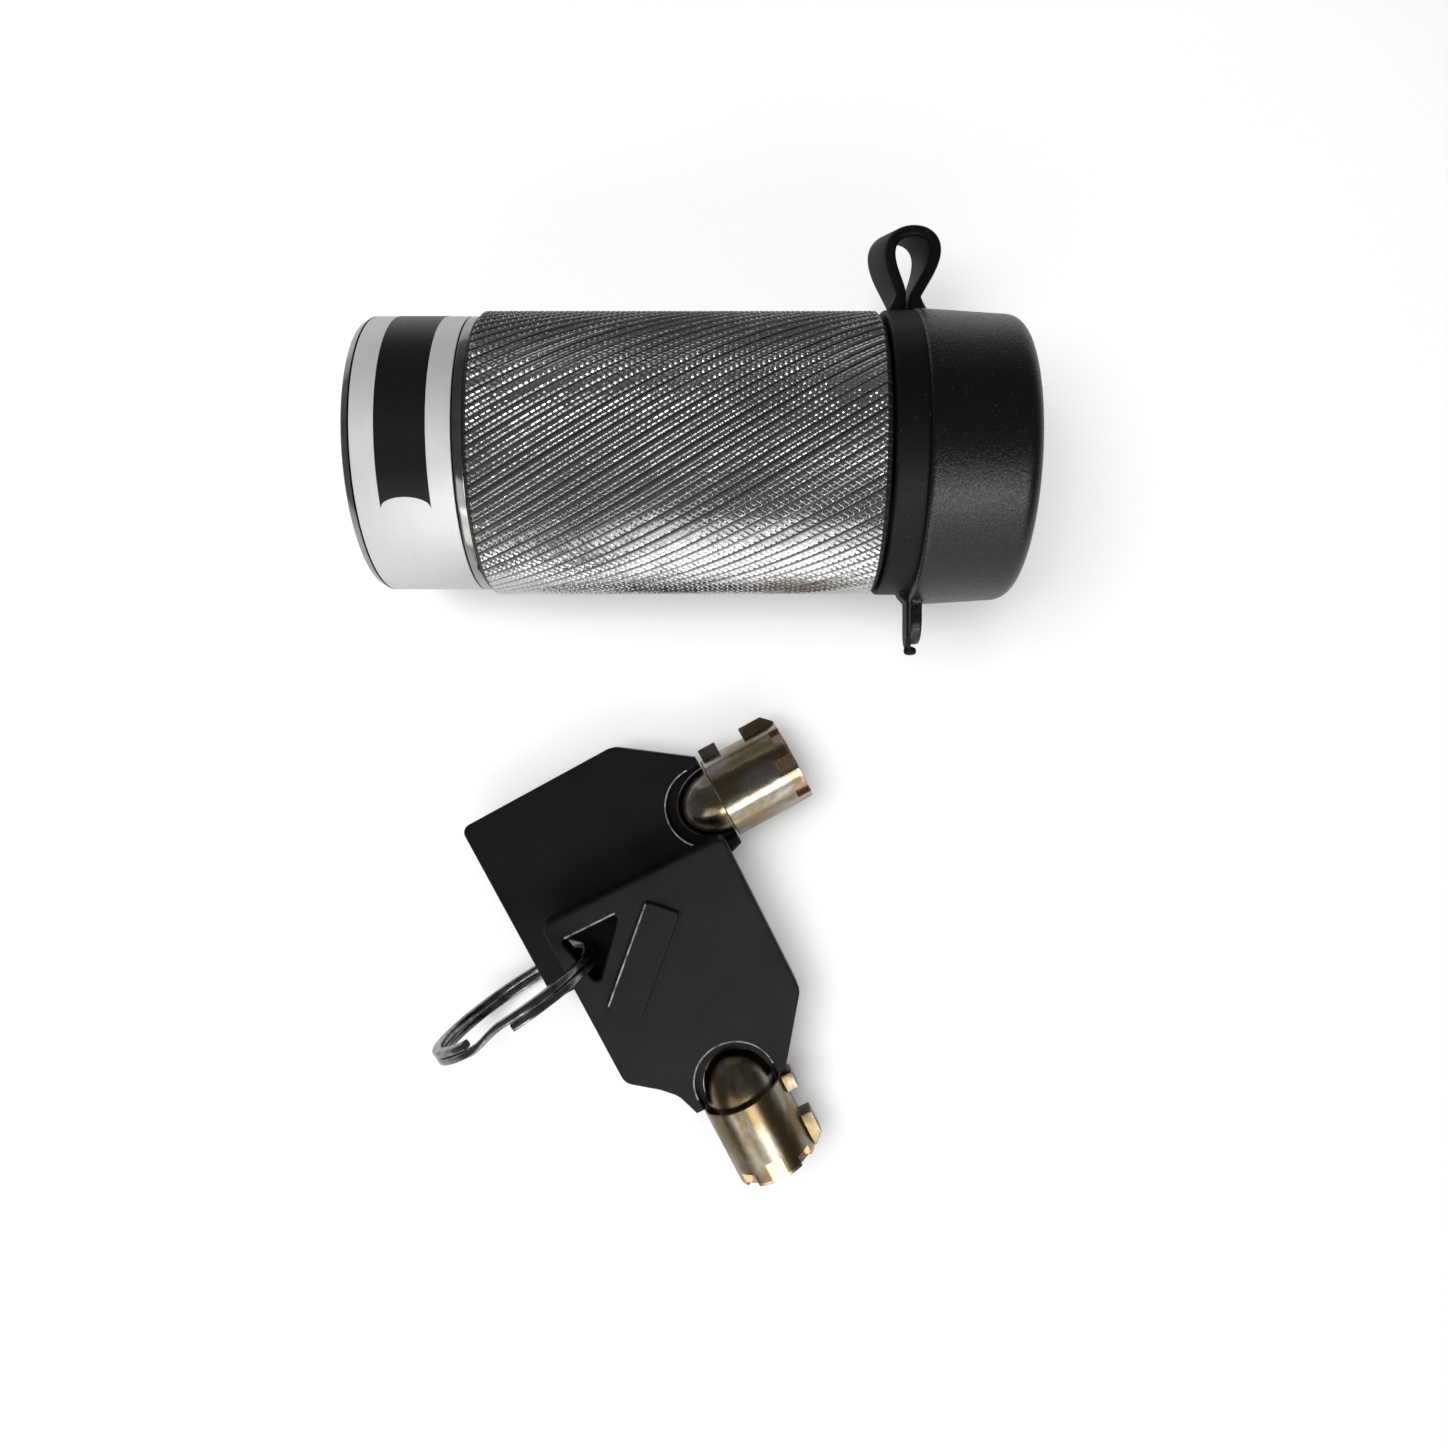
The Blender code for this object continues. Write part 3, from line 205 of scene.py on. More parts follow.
# Soft boxes: name, place, aim, size, radiance, and whether it shows in reflections or lights matt surfaces
LAMPS = (
    ("low_softbox", (-0.075, -0.50, 0.17), (-0.075, 0, 0.01), (0.33, 0.36), 1.42, True),
    ("high_softbox", (-0.11, -0.34, 0.36), (-0.05, 0, 0.01), (0.30, 0.26), 0.9, True),
    ("key_softbox", (0.30, -0.50, 0.17), (0, -0.01, 0.01), (0.16, 0.36), 1.2, True),
    ("side_softbox", (0.20, -0.34, 0.47), (0.02, 0.03, 0.02), (0.24, 0.16), 6.2, True),
    ("overhead_softbox", (-0.19, 0.04, 0.54), (0, 0, 0), (0.36, 0.36), 7.6, False),
    ("front_fill", (0.0, -0.433, 0.30), (0, 0, 0.01), (0.8, 0.32), 1.8, False),
)

# Camera, straight above; the picture's middle is this point of the floor
VIEW_POINT = Vector((0.00296, -0.00029))
VIEW_HEIGHT = 0.13045
LENS = 27.45


# ---- frame ----

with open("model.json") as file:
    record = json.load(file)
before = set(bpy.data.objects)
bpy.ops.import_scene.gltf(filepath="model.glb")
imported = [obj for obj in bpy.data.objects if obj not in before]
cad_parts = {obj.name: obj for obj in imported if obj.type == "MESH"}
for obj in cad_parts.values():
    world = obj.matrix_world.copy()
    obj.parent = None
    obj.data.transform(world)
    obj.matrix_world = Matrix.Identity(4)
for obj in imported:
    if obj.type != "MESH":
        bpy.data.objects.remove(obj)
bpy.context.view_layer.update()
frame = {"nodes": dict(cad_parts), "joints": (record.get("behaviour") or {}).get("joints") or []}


def lock_frame():
    """Where the pin-entry face meets the barrel's axis."""
    low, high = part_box("barrel_body")
    return Matrix.Translation((low.x, (low.y + high.y) / 2, (low.z + high.z) / 2))


LOCK = lock_frame()


def drawn_points(node, place):
    """A CAD node's corners in the frame `place`, in millimetres."""
    into = place.inverted()
    return [(into @ vertex.co) / MM for vertex in frame["nodes"][node].data.vertices]


def drawn_box(node, place):
    """The lowest and the highest corner of a CAD node in the frame `place`, in millimetres."""
    points = drawn_points(node, place)
    return [Vector([pick(values) for values in zip(*points)]) for pick in (min, max)]


def measure(node):
    """How far a node of the lock reaches along the axis and away from it: start, end, nearest, farthest."""
    points = drawn_points(node, LOCK)
    along = [point.x for point in points]
    away = [hypot(point.y, point.z) for point in points]
    return min(along), max(along), min(away), max(away)


def joint(name):
    return next(made for made in frame["joints"] if made["name"] == name)


# ---- meshes ----


def new_object(name, data):
    made = bpy.data.objects.new(name, data)
    bpy.context.scene.collection.objects.link(made)
    return made


def into_mesh(name, shape):
    """Turn a bmesh into a mesh and let go of it."""
    mesh = bpy.data.meshes.new(name)
    shape.to_mesh(mesh)
    shape.free()
    return mesh


def make_piece(name, shape, finishes, stands_for=(), body="lock_body", place=LOCK, sharp=32):
    """Turn a bmesh, drawn in millimetres in the frame `place`, into a piece that rides a body.

    `stands_for` are the CAD nodes it replaces, which it hides; its finishes become its material slots in
    order.
    """
    bmesh.ops.recalc_face_normals(shape, faces=shape.faces)
    bmesh.ops.scale(shape, vec=(MM, MM, MM), verts=shape.verts)
    mesh = into_mesh(name, shape)
    mesh.shade_smooth()
    mesh.set_sharp_from_angle(angle=radians(sharp))
    made = new_object(name, mesh)
    made.matrix_world = place
    for finish in finishes:
        mesh.materials.append(LOOKS[finish])
    if body:
        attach(made, body)
    if stands_for:
        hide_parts(*stands_for)
    return made


def evaluated(shape, *modifiers):
    """The bmesh of a closed shape after modifiers, each a (kind, settings) pair."""
    mesh = into_mesh("working", shape)
    holder = new_object("working", mesh)
    for kind, settings in modifiers:
        modifier = holder.modifiers.new(kind, kind)
        for key, value in settings.items():
            setattr(modifier, key, value)
    ready = holder.evaluated_get(bpy.context.evaluated_depsgraph_get())
    result = bmesh.new()
    result.from_mesh(ready.to_mesh())
    bpy.data.objects.remove(holder)
    bpy.data.meshes.remove(mesh)
    return result


def combined(first, second, operation):
    """Join two closed shapes, or cut the second out of the first, exactly."""
    mesh = into_mesh("tool", second)
    tool = new_object("tool", mesh)
    result = evaluated(first, ("BOOLEAN", {"operation": operation, "object": tool, "solver": "EXACT"}))
    bpy.data.objects.remove(tool)
    bpy.data.meshes.remove(mesh)
    return result


def merge_into(shape, other, finish=None):
    """Add another shape to a shape, all its faces in one material slot where `finish` is given."""
    if finish is not None:
        for face in other.faces:
            face.material_index = finish
    mesh = into_mesh("part", other)
    shape.from_mesh(mesh)
    bpy.data.meshes.remove(mesh)


def oblong(left, low, right, high):
    """The corners of a rectangle."""
    return [(left, low), (right, low), (right, high), (left, high)]


def arc(centre, radius, start, end, steps):
    turns = [start + (end - start) * i / steps for i in range(steps + 1)]
    return [(centre[0] + radius * cos(a), centre[1] + radius * sin(a)) for a in turns]


def rounded(corners, radii, steps):
    """Round each corner of a flat outline, by no more than its neighbours leave room for."""
    outline = []
    count = len(corners)
    for i, (corner, radius) in enumerate(zip(corners, radii)):
        here = Vector(corner)
        before = Vector(corners[i - 1]) - here
        after = Vector(corners[(i + 1) % count]) - here
        room = 0.45 * min(before.length, after.length)
        before.normalize()
        after.normalize()
        half = acos(max(-1.0, min(1.0, before.dot(after)))) / 2
        radius = min(radius, room * tan(half))
        if radius < 0.005 or half > radians(88):
            outline.append(tuple(here))
            continue
        centre = here + (before + after).normalized() * radius / sin(half)
        first = here + before * radius / tan(half)
        last = here + after * radius / tan(half)
        begin = atan2(first.y - centre.y, first.x - centre.x)
        sweep = atan2(last.y - centre.y, last.x - centre.x) - begin
        sweep = (sweep + pi) % (2 * pi) - pi
        outline += arc(centre, radius, begin, begin + sweep, steps)
    return outline


def hoop(x, radius, turns):
    """Points round the x axis."""
    return [(x, radius * cos(a), radius * sin(a)) for a in turns]


def turned(profile, count=ROUND, edge=EDGE):
    """Revolve a closed (x, r) outline about the x axis. Points with r = 0 are poles."""
    soft = rounded(profile, [edge if r > 0 else 0 for _, r in profile], EDGE_STEPS) if edge else profile
    shape = bmesh.new()
    turns = [2 * pi * i / count for i in range(count)]
    rings = []
    for x, r in soft:
        places = hoop(x, r, turns) if r > 0 else [(x, 0, 0)]
        rings.append([shape.verts.new(place) for place in places])
    for first, second in zip(rings, rings[1:] + rings[:1]):
        if len(first) == len(second) == 1:
            continue
        for i in range(count):
            j = (i + 1) % count
            around = [first[i % len(first)], second[i % len(second)],
                      second[j % len(second)], first[j % len(first)]]
            shape.faces.new(list(dict.fromkeys(around)))
    return shape


def add_prism(shape, outline, low, high):
    """Close a prism over a flat outline of (x, y) points, from z = low to z = high."""
    bottom = [shape.verts.new((x, y, low)) for x, y in outline]
    top = [shape.verts.new((x, y, high)) for x, y in outline]
    shape.faces.new(bottom)
    shape.faces.new(top)
    for i in range(len(outline)):
        j = (i + 1) % len(outline)
        shape.faces.new((bottom[i], bottom[j], top[j], top[i]))
    return bottom + top


def add_block(shape, low, high, turn=None):
    corners = add_prism(shape, oblong(low[0], low[1], high[0], high[1]), low[2], high[2])
    if turn:
        bmesh.ops.transform(shape, matrix=turn, verts=corners)
    return corners


def swept(sections):
    """Skin a list of equal cross-sections and cap both ends."""
    shape = bmesh.new()
    rings = [[shape.verts.new(point) for point in section] for section in sections]
    count = len(rings[0])
    for first, second in zip(rings, rings[1:]):
        for i in range(count):
            j = (i + 1) % count
            shape.faces.new((first[i], first[j], second[j], second[i]))
    shape.faces.new(rings[0])
    shape.faces.new(rings[-1])
    return shape


# ---- materials ----


class Nodes:
    """Short calls for the nodes of a material or of the world."""

    def __init__(self, tree):
        self.nodes = tree.nodes
        self.links = tree.links

    def new(self, kind, **values):
        node = self.nodes.new("ShaderNode" + kind)
        self.set(node, **values)
        return node

    def set(self, node, **values):
        for name, value in values.items():
            self.feed(node.inputs[name.replace("_", " ").title().replace("Ior", "IOR")], value)

    def feed(self, socket, value):
        if isinstance(value, bpy.types.NodeSocket):
            self.links.new(value, socket)
        else:
            socket.default_value = value

    def fill(self, node, *values):
        """Feed a node's inputs in their order; returns its first output."""
        for socket, value in zip(node.inputs, values):
            self.feed(socket, value)
        return node.outputs[0]

    def maths(self, operation, *values):
        node = self.new("Math")
        node.operation = operation
        return self.fill(node, *values)

    def level(self, value, low, high, to_low=0.0, to_high=1.0):
        return self.fill(self.new("MapRange"), value, low, high, to_low, to_high)

    def part(self, vector, index):
        return self.new("SeparateXYZ", vector=vector).outputs[index]

    def reach(self, vector, first, second):
        """How far a vector reaches in the plane of two of its parts."""
        parts = self.part(vector, first), self.part(vector, second)
        return self.maths("SQRT", self.maths("ADD", *[self.maths("MULTIPLY", part, part) for part in parts]))

    def tint(self, share, first, second):
        node = self.new("Mix")
        node.data_type = "RGBA"
        self.feed(node.inputs["Factor"], share)
        for socket, value in zip([one for one in node.inputs if one.type == "RGBA"], (first, second)):
            self.feed(socket, value if isinstance(value, bpy.types.NodeSocket) else (*value, 1.0))
        return next(one for one in node.outputs if one.type == "RGBA")


class Look(Nodes):
    """A material in the making: its shader, and the textures that feed it."""

    def __init__(self, name, colour, roughness, metallic=0.0, **values):
        self.material = bpy.data.materials.new(name)
        self.material.use_nodes = True
        super().__init__(self.material.node_tree)
        self.shader = self.nodes["Principled BSDF"]
        self.set(self.shader, base_color=(*colour, 1.0), roughness=roughness, metallic=metallic, **values)
        self.normal = None

    def paint(self, colour):
        self.set(self.shader, base_color=colour)

    def gloss(self, pattern, *ends):
        """The roughness, or the two ends that a noise pattern takes it between."""
        self.set(self.shader, roughness=self.level(pattern, 0.3, 0.7, *ends) if ends else pattern)

    def place(self):
        return self.new("TexCoord").outputs["Object"]

    def stretched(self, scale):
        """Object coordinates in millimetres, scaled along each axis."""
        scale = tuple(value / MM for value in scale)
        return self.new("Mapping", vector=self.place(), scale=scale).outputs["Vector"]

    def lathe(self, axis=(0.0, 0.0)):
        """(along the axis, away from it, 0) in millimetres: turning marks follow it on walls and ends."""
        shifted = self.new("VectorMath")
        shifted.operation = "SUBTRACT"
        spot = self.fill(shifted, self.place(), (0, *axis))
        parts = self.part(spot, 0), self.reach(spot, 1, 2)
        return self.fill(self.new("CombineXYZ"), *[self.maths("DIVIDE", part, MM) for part in parts])

    def noise(self, vector, scale, detail, roughness=0.5):
        values = {"vector": vector, "scale": scale, "detail": detail, "roughness": roughness}
        return self.new("TexNoise", **values).outputs["Fac"]

    def grain(self, *values):
        """Noise that is the same in all directions."""
        return self.noise(self.stretched((1, 1, 1)), *values)

    def cells(self, vector, scale):
        return self.new("TexVoronoi", vector=vector, scale=scale).outputs["Distance"]

    def bump(self, height, depth):
        """Add relief `depth` millimetres deep to what the material has already."""
        node = self.new("Bump", height=height, distance=depth * MM)
        if self.normal:
            self.feed(node.inputs["Normal"], self.normal)
        self.normal = node.outputs["Normal"]
        self.feed(self.shader.inputs["Normal"], self.normal)


def knurled_chrome(radius):
    """Chrome over knurling: bright crests, and the grooves painted dark as shade."""
    look = Look("knurled_chrome", (0.64, 0.64, 0.63), 0.16, 1.0)
    away = look.part(look.lathe(), 1)
    # share of crest against groove; the groove side gets painted shade
    crest = look.level(away, radius - 0.20, radius - 0.10)
    patches = look.grain(0.35, 3)
    clean = look.tint(patches, (0.70, 0.70, 0.69), (0.82, 0.82, 0.80))
    # painted shade: the grooves are near black, the crests keep the chrome's tone
    look.paint(look.tint(crest, (0.15, 0.15, 0.145), clean))
    worn = look.level(look.grain(3.0, 2), 0.3, 0.7, 0.10, 0.24)
    look.gloss(look.maths("ADD", look.level(crest, 0, 1, 0.42, 0.0), worn))
    look.bump(look.grain(6.0, 3), 0.006)
    return look


def turned_metal(name, colour, roughness, relief, axis=(0.0, 0.0)):
    """Turned and polished metal: fine marks round the axis, faint stains and a change of gloss."""
    look = Look(name, colour, roughness, 1.0)
    marks = look.noise(look.lathe(axis), 9.0, 3, 0.7)
    stains = look.grain(0.5, 4, 0.6)
    dull = tuple(value * 0.78 for value in colour)
    look.paint(look.tint(look.level(stains, 0.35, 0.65), dull, colour))
    gloss = look.maths("MULTIPLY_ADD", look.maths("SUBTRACT", marks, 0.5), 0.16, roughness)
    look.gloss(look.maths("MAXIMUM", gloss, 0.05))
    look.bump(marks, relief)
    return look


def brushed_foil():
    """Aluminium foil brushed round the barrel, a little clouded by handling."""
    look = Look("brushed_label", (0.80, 0.80, 0.80), 0.5, 0.54)
    strokes = look.noise(look.stretched(FOIL_STROKES), 1.0, 3, 0.7)
    clouds = look.noise(look.stretched((0.6, 0.3, 0.3)), 1.0, 2)
    streaks = look.tint(strokes, (0.74, 0.74, 0.745), (0.90, 0.90, 0.90))
    look.paint(look.tint(look.level(clouds, 0.3, 0.8, 0.0, 0.25), streaks, (0.76, 0.76, 0.76)))
    look.gloss(look.level(strokes, 0.25, 0.75, 0.42, 0.60))
    look.bump(strokes, 0.004)
    return look


def band_ink():
    """Dark printing ink: satin, with tiny pinholes and a faint mottle."""
    look = Look("band_ink", (0.006, 0.006, 0.0065), 0.32, specular_ior_level=0.3)
    mottle = look.grain(5.0, 4)
    look.paint(look.tint(mottle, (0.004, 0.004, 0.0045), (0.010, 0.010, 0.011)))
    look.gloss(mottle, 0.26, 0.40)
    look.bump(look.noise(look.stretched(FOIL_STROKES), 1.0, 2), 0.002)
    return look


def rubber(name, colour, roughness, shine, relief=0.012):
    """Moulded rubber: fine matt skin, faint flow marks and specks of dust."""
    look = Look(name, colour, roughness, specular_ior_level=shine)
    skin = look.grain(4.5, 3, 0.65)
    flow = look.noise(look.stretched((0.5, 0.18, 0.18)), 1.0, 3)
    specks = look.level(look.grain(3.2, 1), 0.70, 0.78)
    base = look.tint(flow, colour, tuple(value * 1.7 for value in colour))
    look.paint(look.tint(look.maths("MULTIPLY", specks, 0.35), base, (0.075, 0.075, 0.078)))
    look.gloss(skin, roughness - 0.08, roughness + 0.08)
    look.bump(skin, relief)
    return look


def rubbed_highlight_plastic():
    """The moulding's thin raised edge, rubbed pale and smooth; its pale tone is also a painted highlight
    along lit edges.
    """
    look = Look("rubbed_highlight_plastic", (0.16, 0.16, 0.16), 0.22)
    wear = look.grain(1.1, 3, 0.6)
    look.paint(look.tint(look.level(wear, 0.35, 0.6), (0.06, 0.06, 0.06), (0.36, 0.36, 0.355)))
    look.gloss(wear, 0.34, 0.18)
    look.bump(look.grain(9.0, 2), 0.006)
    return look


def bow_plastic():
    """Moulded plastic with a fine leather-like grain, slightly polished by use."""
    look = Look("bow_plastic", (0.004, 0.004, 0.0042), 0.4, specular_ior_level=0.26)
    spot = look.stretched((1, 1, 1))
    grain = look.cells(spot, 5.5)
    fine = look.noise(spot, 10.0, 3, 0.65)
    handled = look.noise(spot, 0.16, 3, 0.6)
    base = look.tint(fine, (0.002, 0.002, 0.0021), (0.006, 0.006, 0.0063))
    look.paint(look.tint(look.level(handled, 0.35, 0.7, 0.0, 0.45), base, (0.008, 0.008, 0.0083)))
    look.gloss(handled, 0.44, 0.34)
    look.bump(grain, 0.022)
    look.bump(fine, 0.028)
    return look


def nickel(name, clean, tarnished, polish):
    """Nickel plate on a drawn tube: lines along it, warm yellowish patches and hair scratches."""
    look = Look(name, clean, polish, 1.0)
    lines = look.noise(look.stretched((0.12, 4.0, 4.0)), 1.0, 3, 0.6)
    warm = look.noise(look.stretched((0.25, 0.5, 0.5)), 1.0, 3, 0.6)
    look.paint(look.tint(look.level(warm, 0.34, 0.56), clean, tarnished))
    scratches = look.level(look.noise(look.stretched((1.2, 5.0, 3.0)), 1.0, 5, 0.7), 0.60, 0.76)
    look.gloss(look.level(scratches, 0.0, 1.0, polish, polish + 0.2))
    look.bump(lines, 0.004)
    look.bump(look.grain(0.8, 2), 0.02)
    return look


def bare_brass():
    """Where the plating is milled away: coppery brass with cutter marks."""
    look = Look("cut_brass", (0.66, 0.42, 0.26), 0.24, 1.0)
    marks = look.noise(look.stretched((6.0, 1.5, 1.5)), 1.0, 3, 0.7)
    look.paint(look.tint(marks, (0.50, 0.29, 0.17), (0.86, 0.66, 0.48)))
    look.gloss(marks, 0.16, 0.34)
    look.bump(marks, 0.008)
    return look


def ring_wire():
    """Drawn and nickel-plated spring wire, rubbed dark between its turns."""
    look = Look("ring_steel", (0.55, 0.54, 0.52), 0.2, 1.0)
    rubbed = look.grain(0.9, 4, 0.65)
    look.paint(look.tint(look.level(rubbed, 0.35, 0.65), (0.14, 0.135, 0.13), (0.42, 0.41, 0.395)))
    look.gloss(rubbed, 0.30, 0.15)
    look.bump(look.grain(7.0, 2), 0.006)
    return look


def cast_zinc():
    """Die-cast zinc under nickel: slightly dull, with small pits."""
    look = Look("zinc_casting", (0.58, 0.58, 0.57), 0.34, 1.0)
    pits = look.level(look.grain(2.6, 3), 0.30, 0.45)
    look.paint(look.tint(pits, (0.28, 0.28, 0.27), (0.62, 0.62, 0.61)))
    look.gloss(look.grain(1.0, 3), 0.28, 0.46)
    look.bump(pits, 0.02)
    return look


AXIS = tuple(LOCK.translation.yz)
TUBE_R = (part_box("key_2_tube")[1].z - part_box("key_2_tube")[0].z) / 2 / MM
_, BARREL_END, _, BARREL_R = measure("barrel_body")
LABEL_START, LABEL_END, LABEL_INNER, LABEL_R = measure("label_band")
COLLAR_START, COLLAR_END, COLLAR_INNER, _ = measure("retaining_collar")
BUSH_START, BUSH_END, PIN_BORE, BUSH_R = measure("front_bush")
CYLINDER_START, CYLINDER_END, _, CYLINDER_R = measure("lock_cylinder")
CAP_START, CAP_END, _, _ = measure("dust_cap")
_, CAM_END, _, CAM_R = measure("cam_ring")
KNURL_END = COLLAR_START - FIT
KNURL_START = LABEL_END + FIT / 2 + LAND
SLEEVE_R = LABEL_R - SLEEVE_DEPTH
COLLAR_SEAT = COLLAR_INNER - FIT
NECK_R = COLLAR_SEAT - SEAT_STEP

FINISHES = (
    knurled_chrome(BARREL_R),
    turned_metal("polished_steel", (0.50, 0.49, 0.47), 0.13, 0.0015),
    brushed_foil(),
    band_ink(),
    turned_metal("entry_steel", (0.55, 0.55, 0.55), 0.26, 0.004),
    turned_metal("turned_steel", (0.52, 0.52, 0.52), 0.30, 0.006, AXIS),
    turned_metal("spring_steel", (0.40, 0.40, 0.41), 0.28, 0.004, AXIS),
    cast_zinc(),
    turned_metal("brass", (0.74, 0.57, 0.29), 0.28, 0.005, AXIS),
    rubber("black_rubber", (0.0018, 0.0018, 0.0019), 0.28, 0.70, relief=0.05),
    rubber("matt_rubber", (0.0022, 0.0022, 0.0023), 0.52, 0.32),
    rubber("seal_rubber", (0.012, 0.012, 0.012), 0.55, 0.5),
    bow_plastic(),
    rubbed_highlight_plastic(),
    nickel("nickel", (0.52, 0.505, 0.46), (0.33, 0.265, 0.16), 0.22),
    nickel("tarnished_nickel", (0.40, 0.375, 0.31), (0.24, 0.175, 0.09), 0.28),
    bare_brass(),
    ring_wire(),
)
LOOKS = {look.material.name.split(".")[0]: look.material for look in FINISHES}


def dress_cad_nodes():
    """Give the CAD nodes that stay their finished materials, by material slot."""
    for node in frame["nodes"].values():
        slots = node.data.materials
        for index, plain in enumerate(slots):
            slots[index] = LOOKS[plain.name.split(".")[0]]


# ---- barrel ----


def make_core():
    """The barrel without its knurling: polished bevel, label seat, land, collar seat, neck and chamber."""
    seat = LABEL_INNER - FIT
    start, end = LABEL_START - FIT / 2, LABEL_END + FIT / 2
    sleeve = SLEEVE_R - SLEEVE_UNDER
    lip = COLLAR_SEAT + LIP_HEIGHT
    shoulder, bore = CYLINDER_START - FIT, CYLINDER_R + FIT
    tail_bore = measure("spindle_washer")[2]
    chamber, chamber_end = CAM_R + FIT, CAM_END + CAM_PLAY
    profile = [
        (0, chamber), (0, LABEL_R - NOSE_BEVEL), (NOSE_BREAK, LABEL_R - NOSE_DROP), (NOSE_BEVEL, LABEL_R),
        (start, LABEL_R), (start, seat), (end, seat), (end, LABEL_R),
        (KNURL_START - SLEEVE_ENDS, LABEL_R), (KNURL_START - SLEEVE_ENDS, sleeve),
        (KNURL_END + SLEEVE_ENDS, sleeve), (KNURL_END + SLEEVE_ENDS, COLLAR_SEAT), (COLLAR_END, COLLAR_SEAT),
        (COLLAR_END, lip), (COLLAR_END + LIP_LENGTH, lip), (COLLAR_END + LIP_LENGTH + FIT, NECK_R),
        (BARREL_END, NECK_R), (BARREL_END, bore), (shoulder, bore), (shoulder, tail_bore),
        (chamber_end, tail_bore), (chamber_end, chamber),
    ]
    profile = [corner for i, corner in enumerate(profile) if corner != profile[i - 1]]
    make_piece("barrel_core", turned(profile), ["polished_steel"], ["barrel_body"])


def knurl_surface(start, end, radius):
    """The knurled skin as points and four-cornered faces on a lattice that follows both groove families.

    A point's place is counted in grooves of each family: the deep ones fall as x grows, the others rise.
    """
    per_length = KNURL_GROOVES * tan(KNURL_HELIX) / (2 * pi * radius)
    first, last = int(2 * per_length * start) - 2, int(2 * per_length * end) + 2
    ahead = np.arange(first, last + 1)
    around = np.arange(KNURL_GROOVES)
    steps = np.arange(len(TEETH)), np.arange(len(CROSS))
    rows, turns, i, j = np.meshgrid(ahead, around, *steps, indexing="ij")
    s = (rows + turns) * len(TEETH) + i
    t = turns * len(CROSS) + j
    corners = np.stack([np.stack([s + a, t + b], -1) for a, b in oblong(0, 0, 1, 1)], -2).reshape(-1, 2)
    laps = np.floor_divide(corners[:, 1], KNURL_GROOVES * len(CROSS))
    corners = corners - laps[:, None] * KNURL_GROOVES * np.array([len(TEETH), len(CROSS)])
    points, index = np.unique(corners, axis=0, return_inverse=True)
    faces = index.reshape(-1, 4)

    def spread(values, marks):
        cell, step = np.divmod(values, len(marks))
        table = np.array(marks)
        return cell, cell + table[step, 0], table[step, 1]

    deep_cell, u, deep_height = spread(points[:, 0], TEETH)
    _, v, cross_height = spread(points[:, 1], CROSS)
    random = np.random.default_rng(KNURL_SEED)
    line_depth = 1 + LINE_SPREAD * random.standard_normal(KNURL_GROOVES)
    deep_height = np.where(deep_height < 0, deep_height * line_depth[deep_cell % KNURL_GROOVES], deep_height)
    angle = (u + v) * pi / KNURL_GROOVES
    x = (u - v) / (2 * per_length)
    fade = CROSS_FADE * np.sin(0.31 * x + 2.1 * np.sin(angle)) * np.sin(2 * angle + 0.12 * x)
    cross_height = np.where(cross_height < 0, cross_height * (CROSS_SHARE + fade), cross_height)
    height = np.minimum(deep_height, cross_height) + KNURL_ROUGHNESS * random.standard_normal(len(x))
    r = radius - KNURL_ROUGHNESS * 3 + height
    return np.stack([x, r * np.cos(angle), r * np.sin(angle)], -1), faces


def make_knurl():
    """The knurled layer as a closed sleeve, chamfered at both ends."""
    points, faces = knurl_surface(KNURL_START, KNURL_END, BARREL_R)
    mesh = bpy.data.meshes.new("knurl")
    mesh.from_pydata(points.tolist(), [], faces.tolist())
    shape = bmesh.new()
    shape.from_mesh(mesh)
    bpy.data.meshes.remove(mesh)
    ends = ((KNURL_START, 1), (KNURL_END, -1))
    for x, inward in ends:
        geometry = shape.verts[:] + shape.edges[:] + shape.faces[:]
        bmesh.ops.bisect_plane(shape, geom=geometry, dist=1e-4, plane_co=(x + inward * KNURL_CHAMFER, 0, 0),
                               plane_no=(-inward, 0, 0), clear_outer=True)
    loops = []
    for x, inward in ends:
        rim = [edge for edge in shape.edges if edge.is_boundary
               and abs(edge.verts[0].co.x - x - inward * KNURL_CHAMFER) < 0.01]
        for place, radius in ((x, LABEL_R), (x, SLEEVE_R)):
            grown = bmesh.ops.extrude_edge_only(shape, edges=rim)["geom"]
            for vert in (item for item in grown if isinstance(item, bmesh.types.BMVert)):
                away = hypot(vert.co.y, vert.co.z)
                vert.co = (place, vert.co.y * radius / away, vert.co.z * radius / away)
            rim = [item for item in grown if isinstance(item, bmesh.types.BMEdge)]
        loops += rim
    bmesh.ops.bridge_loops(shape, edges=loops)
    make_piece("knurled_sleeve", shape, ["knurled_chrome"], ["barrel_body"], sharp=24)


def make_label():
    """The foil round the smooth section, and the dark swallow-tailed band printed on it."""
    start, end = LABEL_START, LABEL_END
    profile = [(start, LABEL_INNER), (start, LABEL_R), (end, LABEL_R), (end, LABEL_INNER)]
    make_piece("label_foil", turned(profile, edge=LABEL_EDGE), ["brushed_label"], ["label_band"])
    start, end = start + BAND_MARGIN, end - BAND_MARGIN
    out, deep = LABEL_R + BAND_PROUD, LABEL_R - BAND_PROUD
    columns, rows = 24, 120
    sections = []
    for i in range(columns + 1):
        across = 2 * i / columns - 1
        arch = (BAND_TIP - BAND_NOTCH) * sqrt(max(0.0, 1 - across ** 2))
        first, last = pi / 2 + BAND_TIP - arch, pi / 2 - BAND_FAR + arch
        x = start + (end - start) * i / columns
        turns = [first + (last - first) * k / rows for k in range(rows + 1)]
        sections.append(hoop(x, out, turns) + hoop(x, deep, turns[::-1]))
    make_piece("label_print", swept(sections), ["band_ink"])


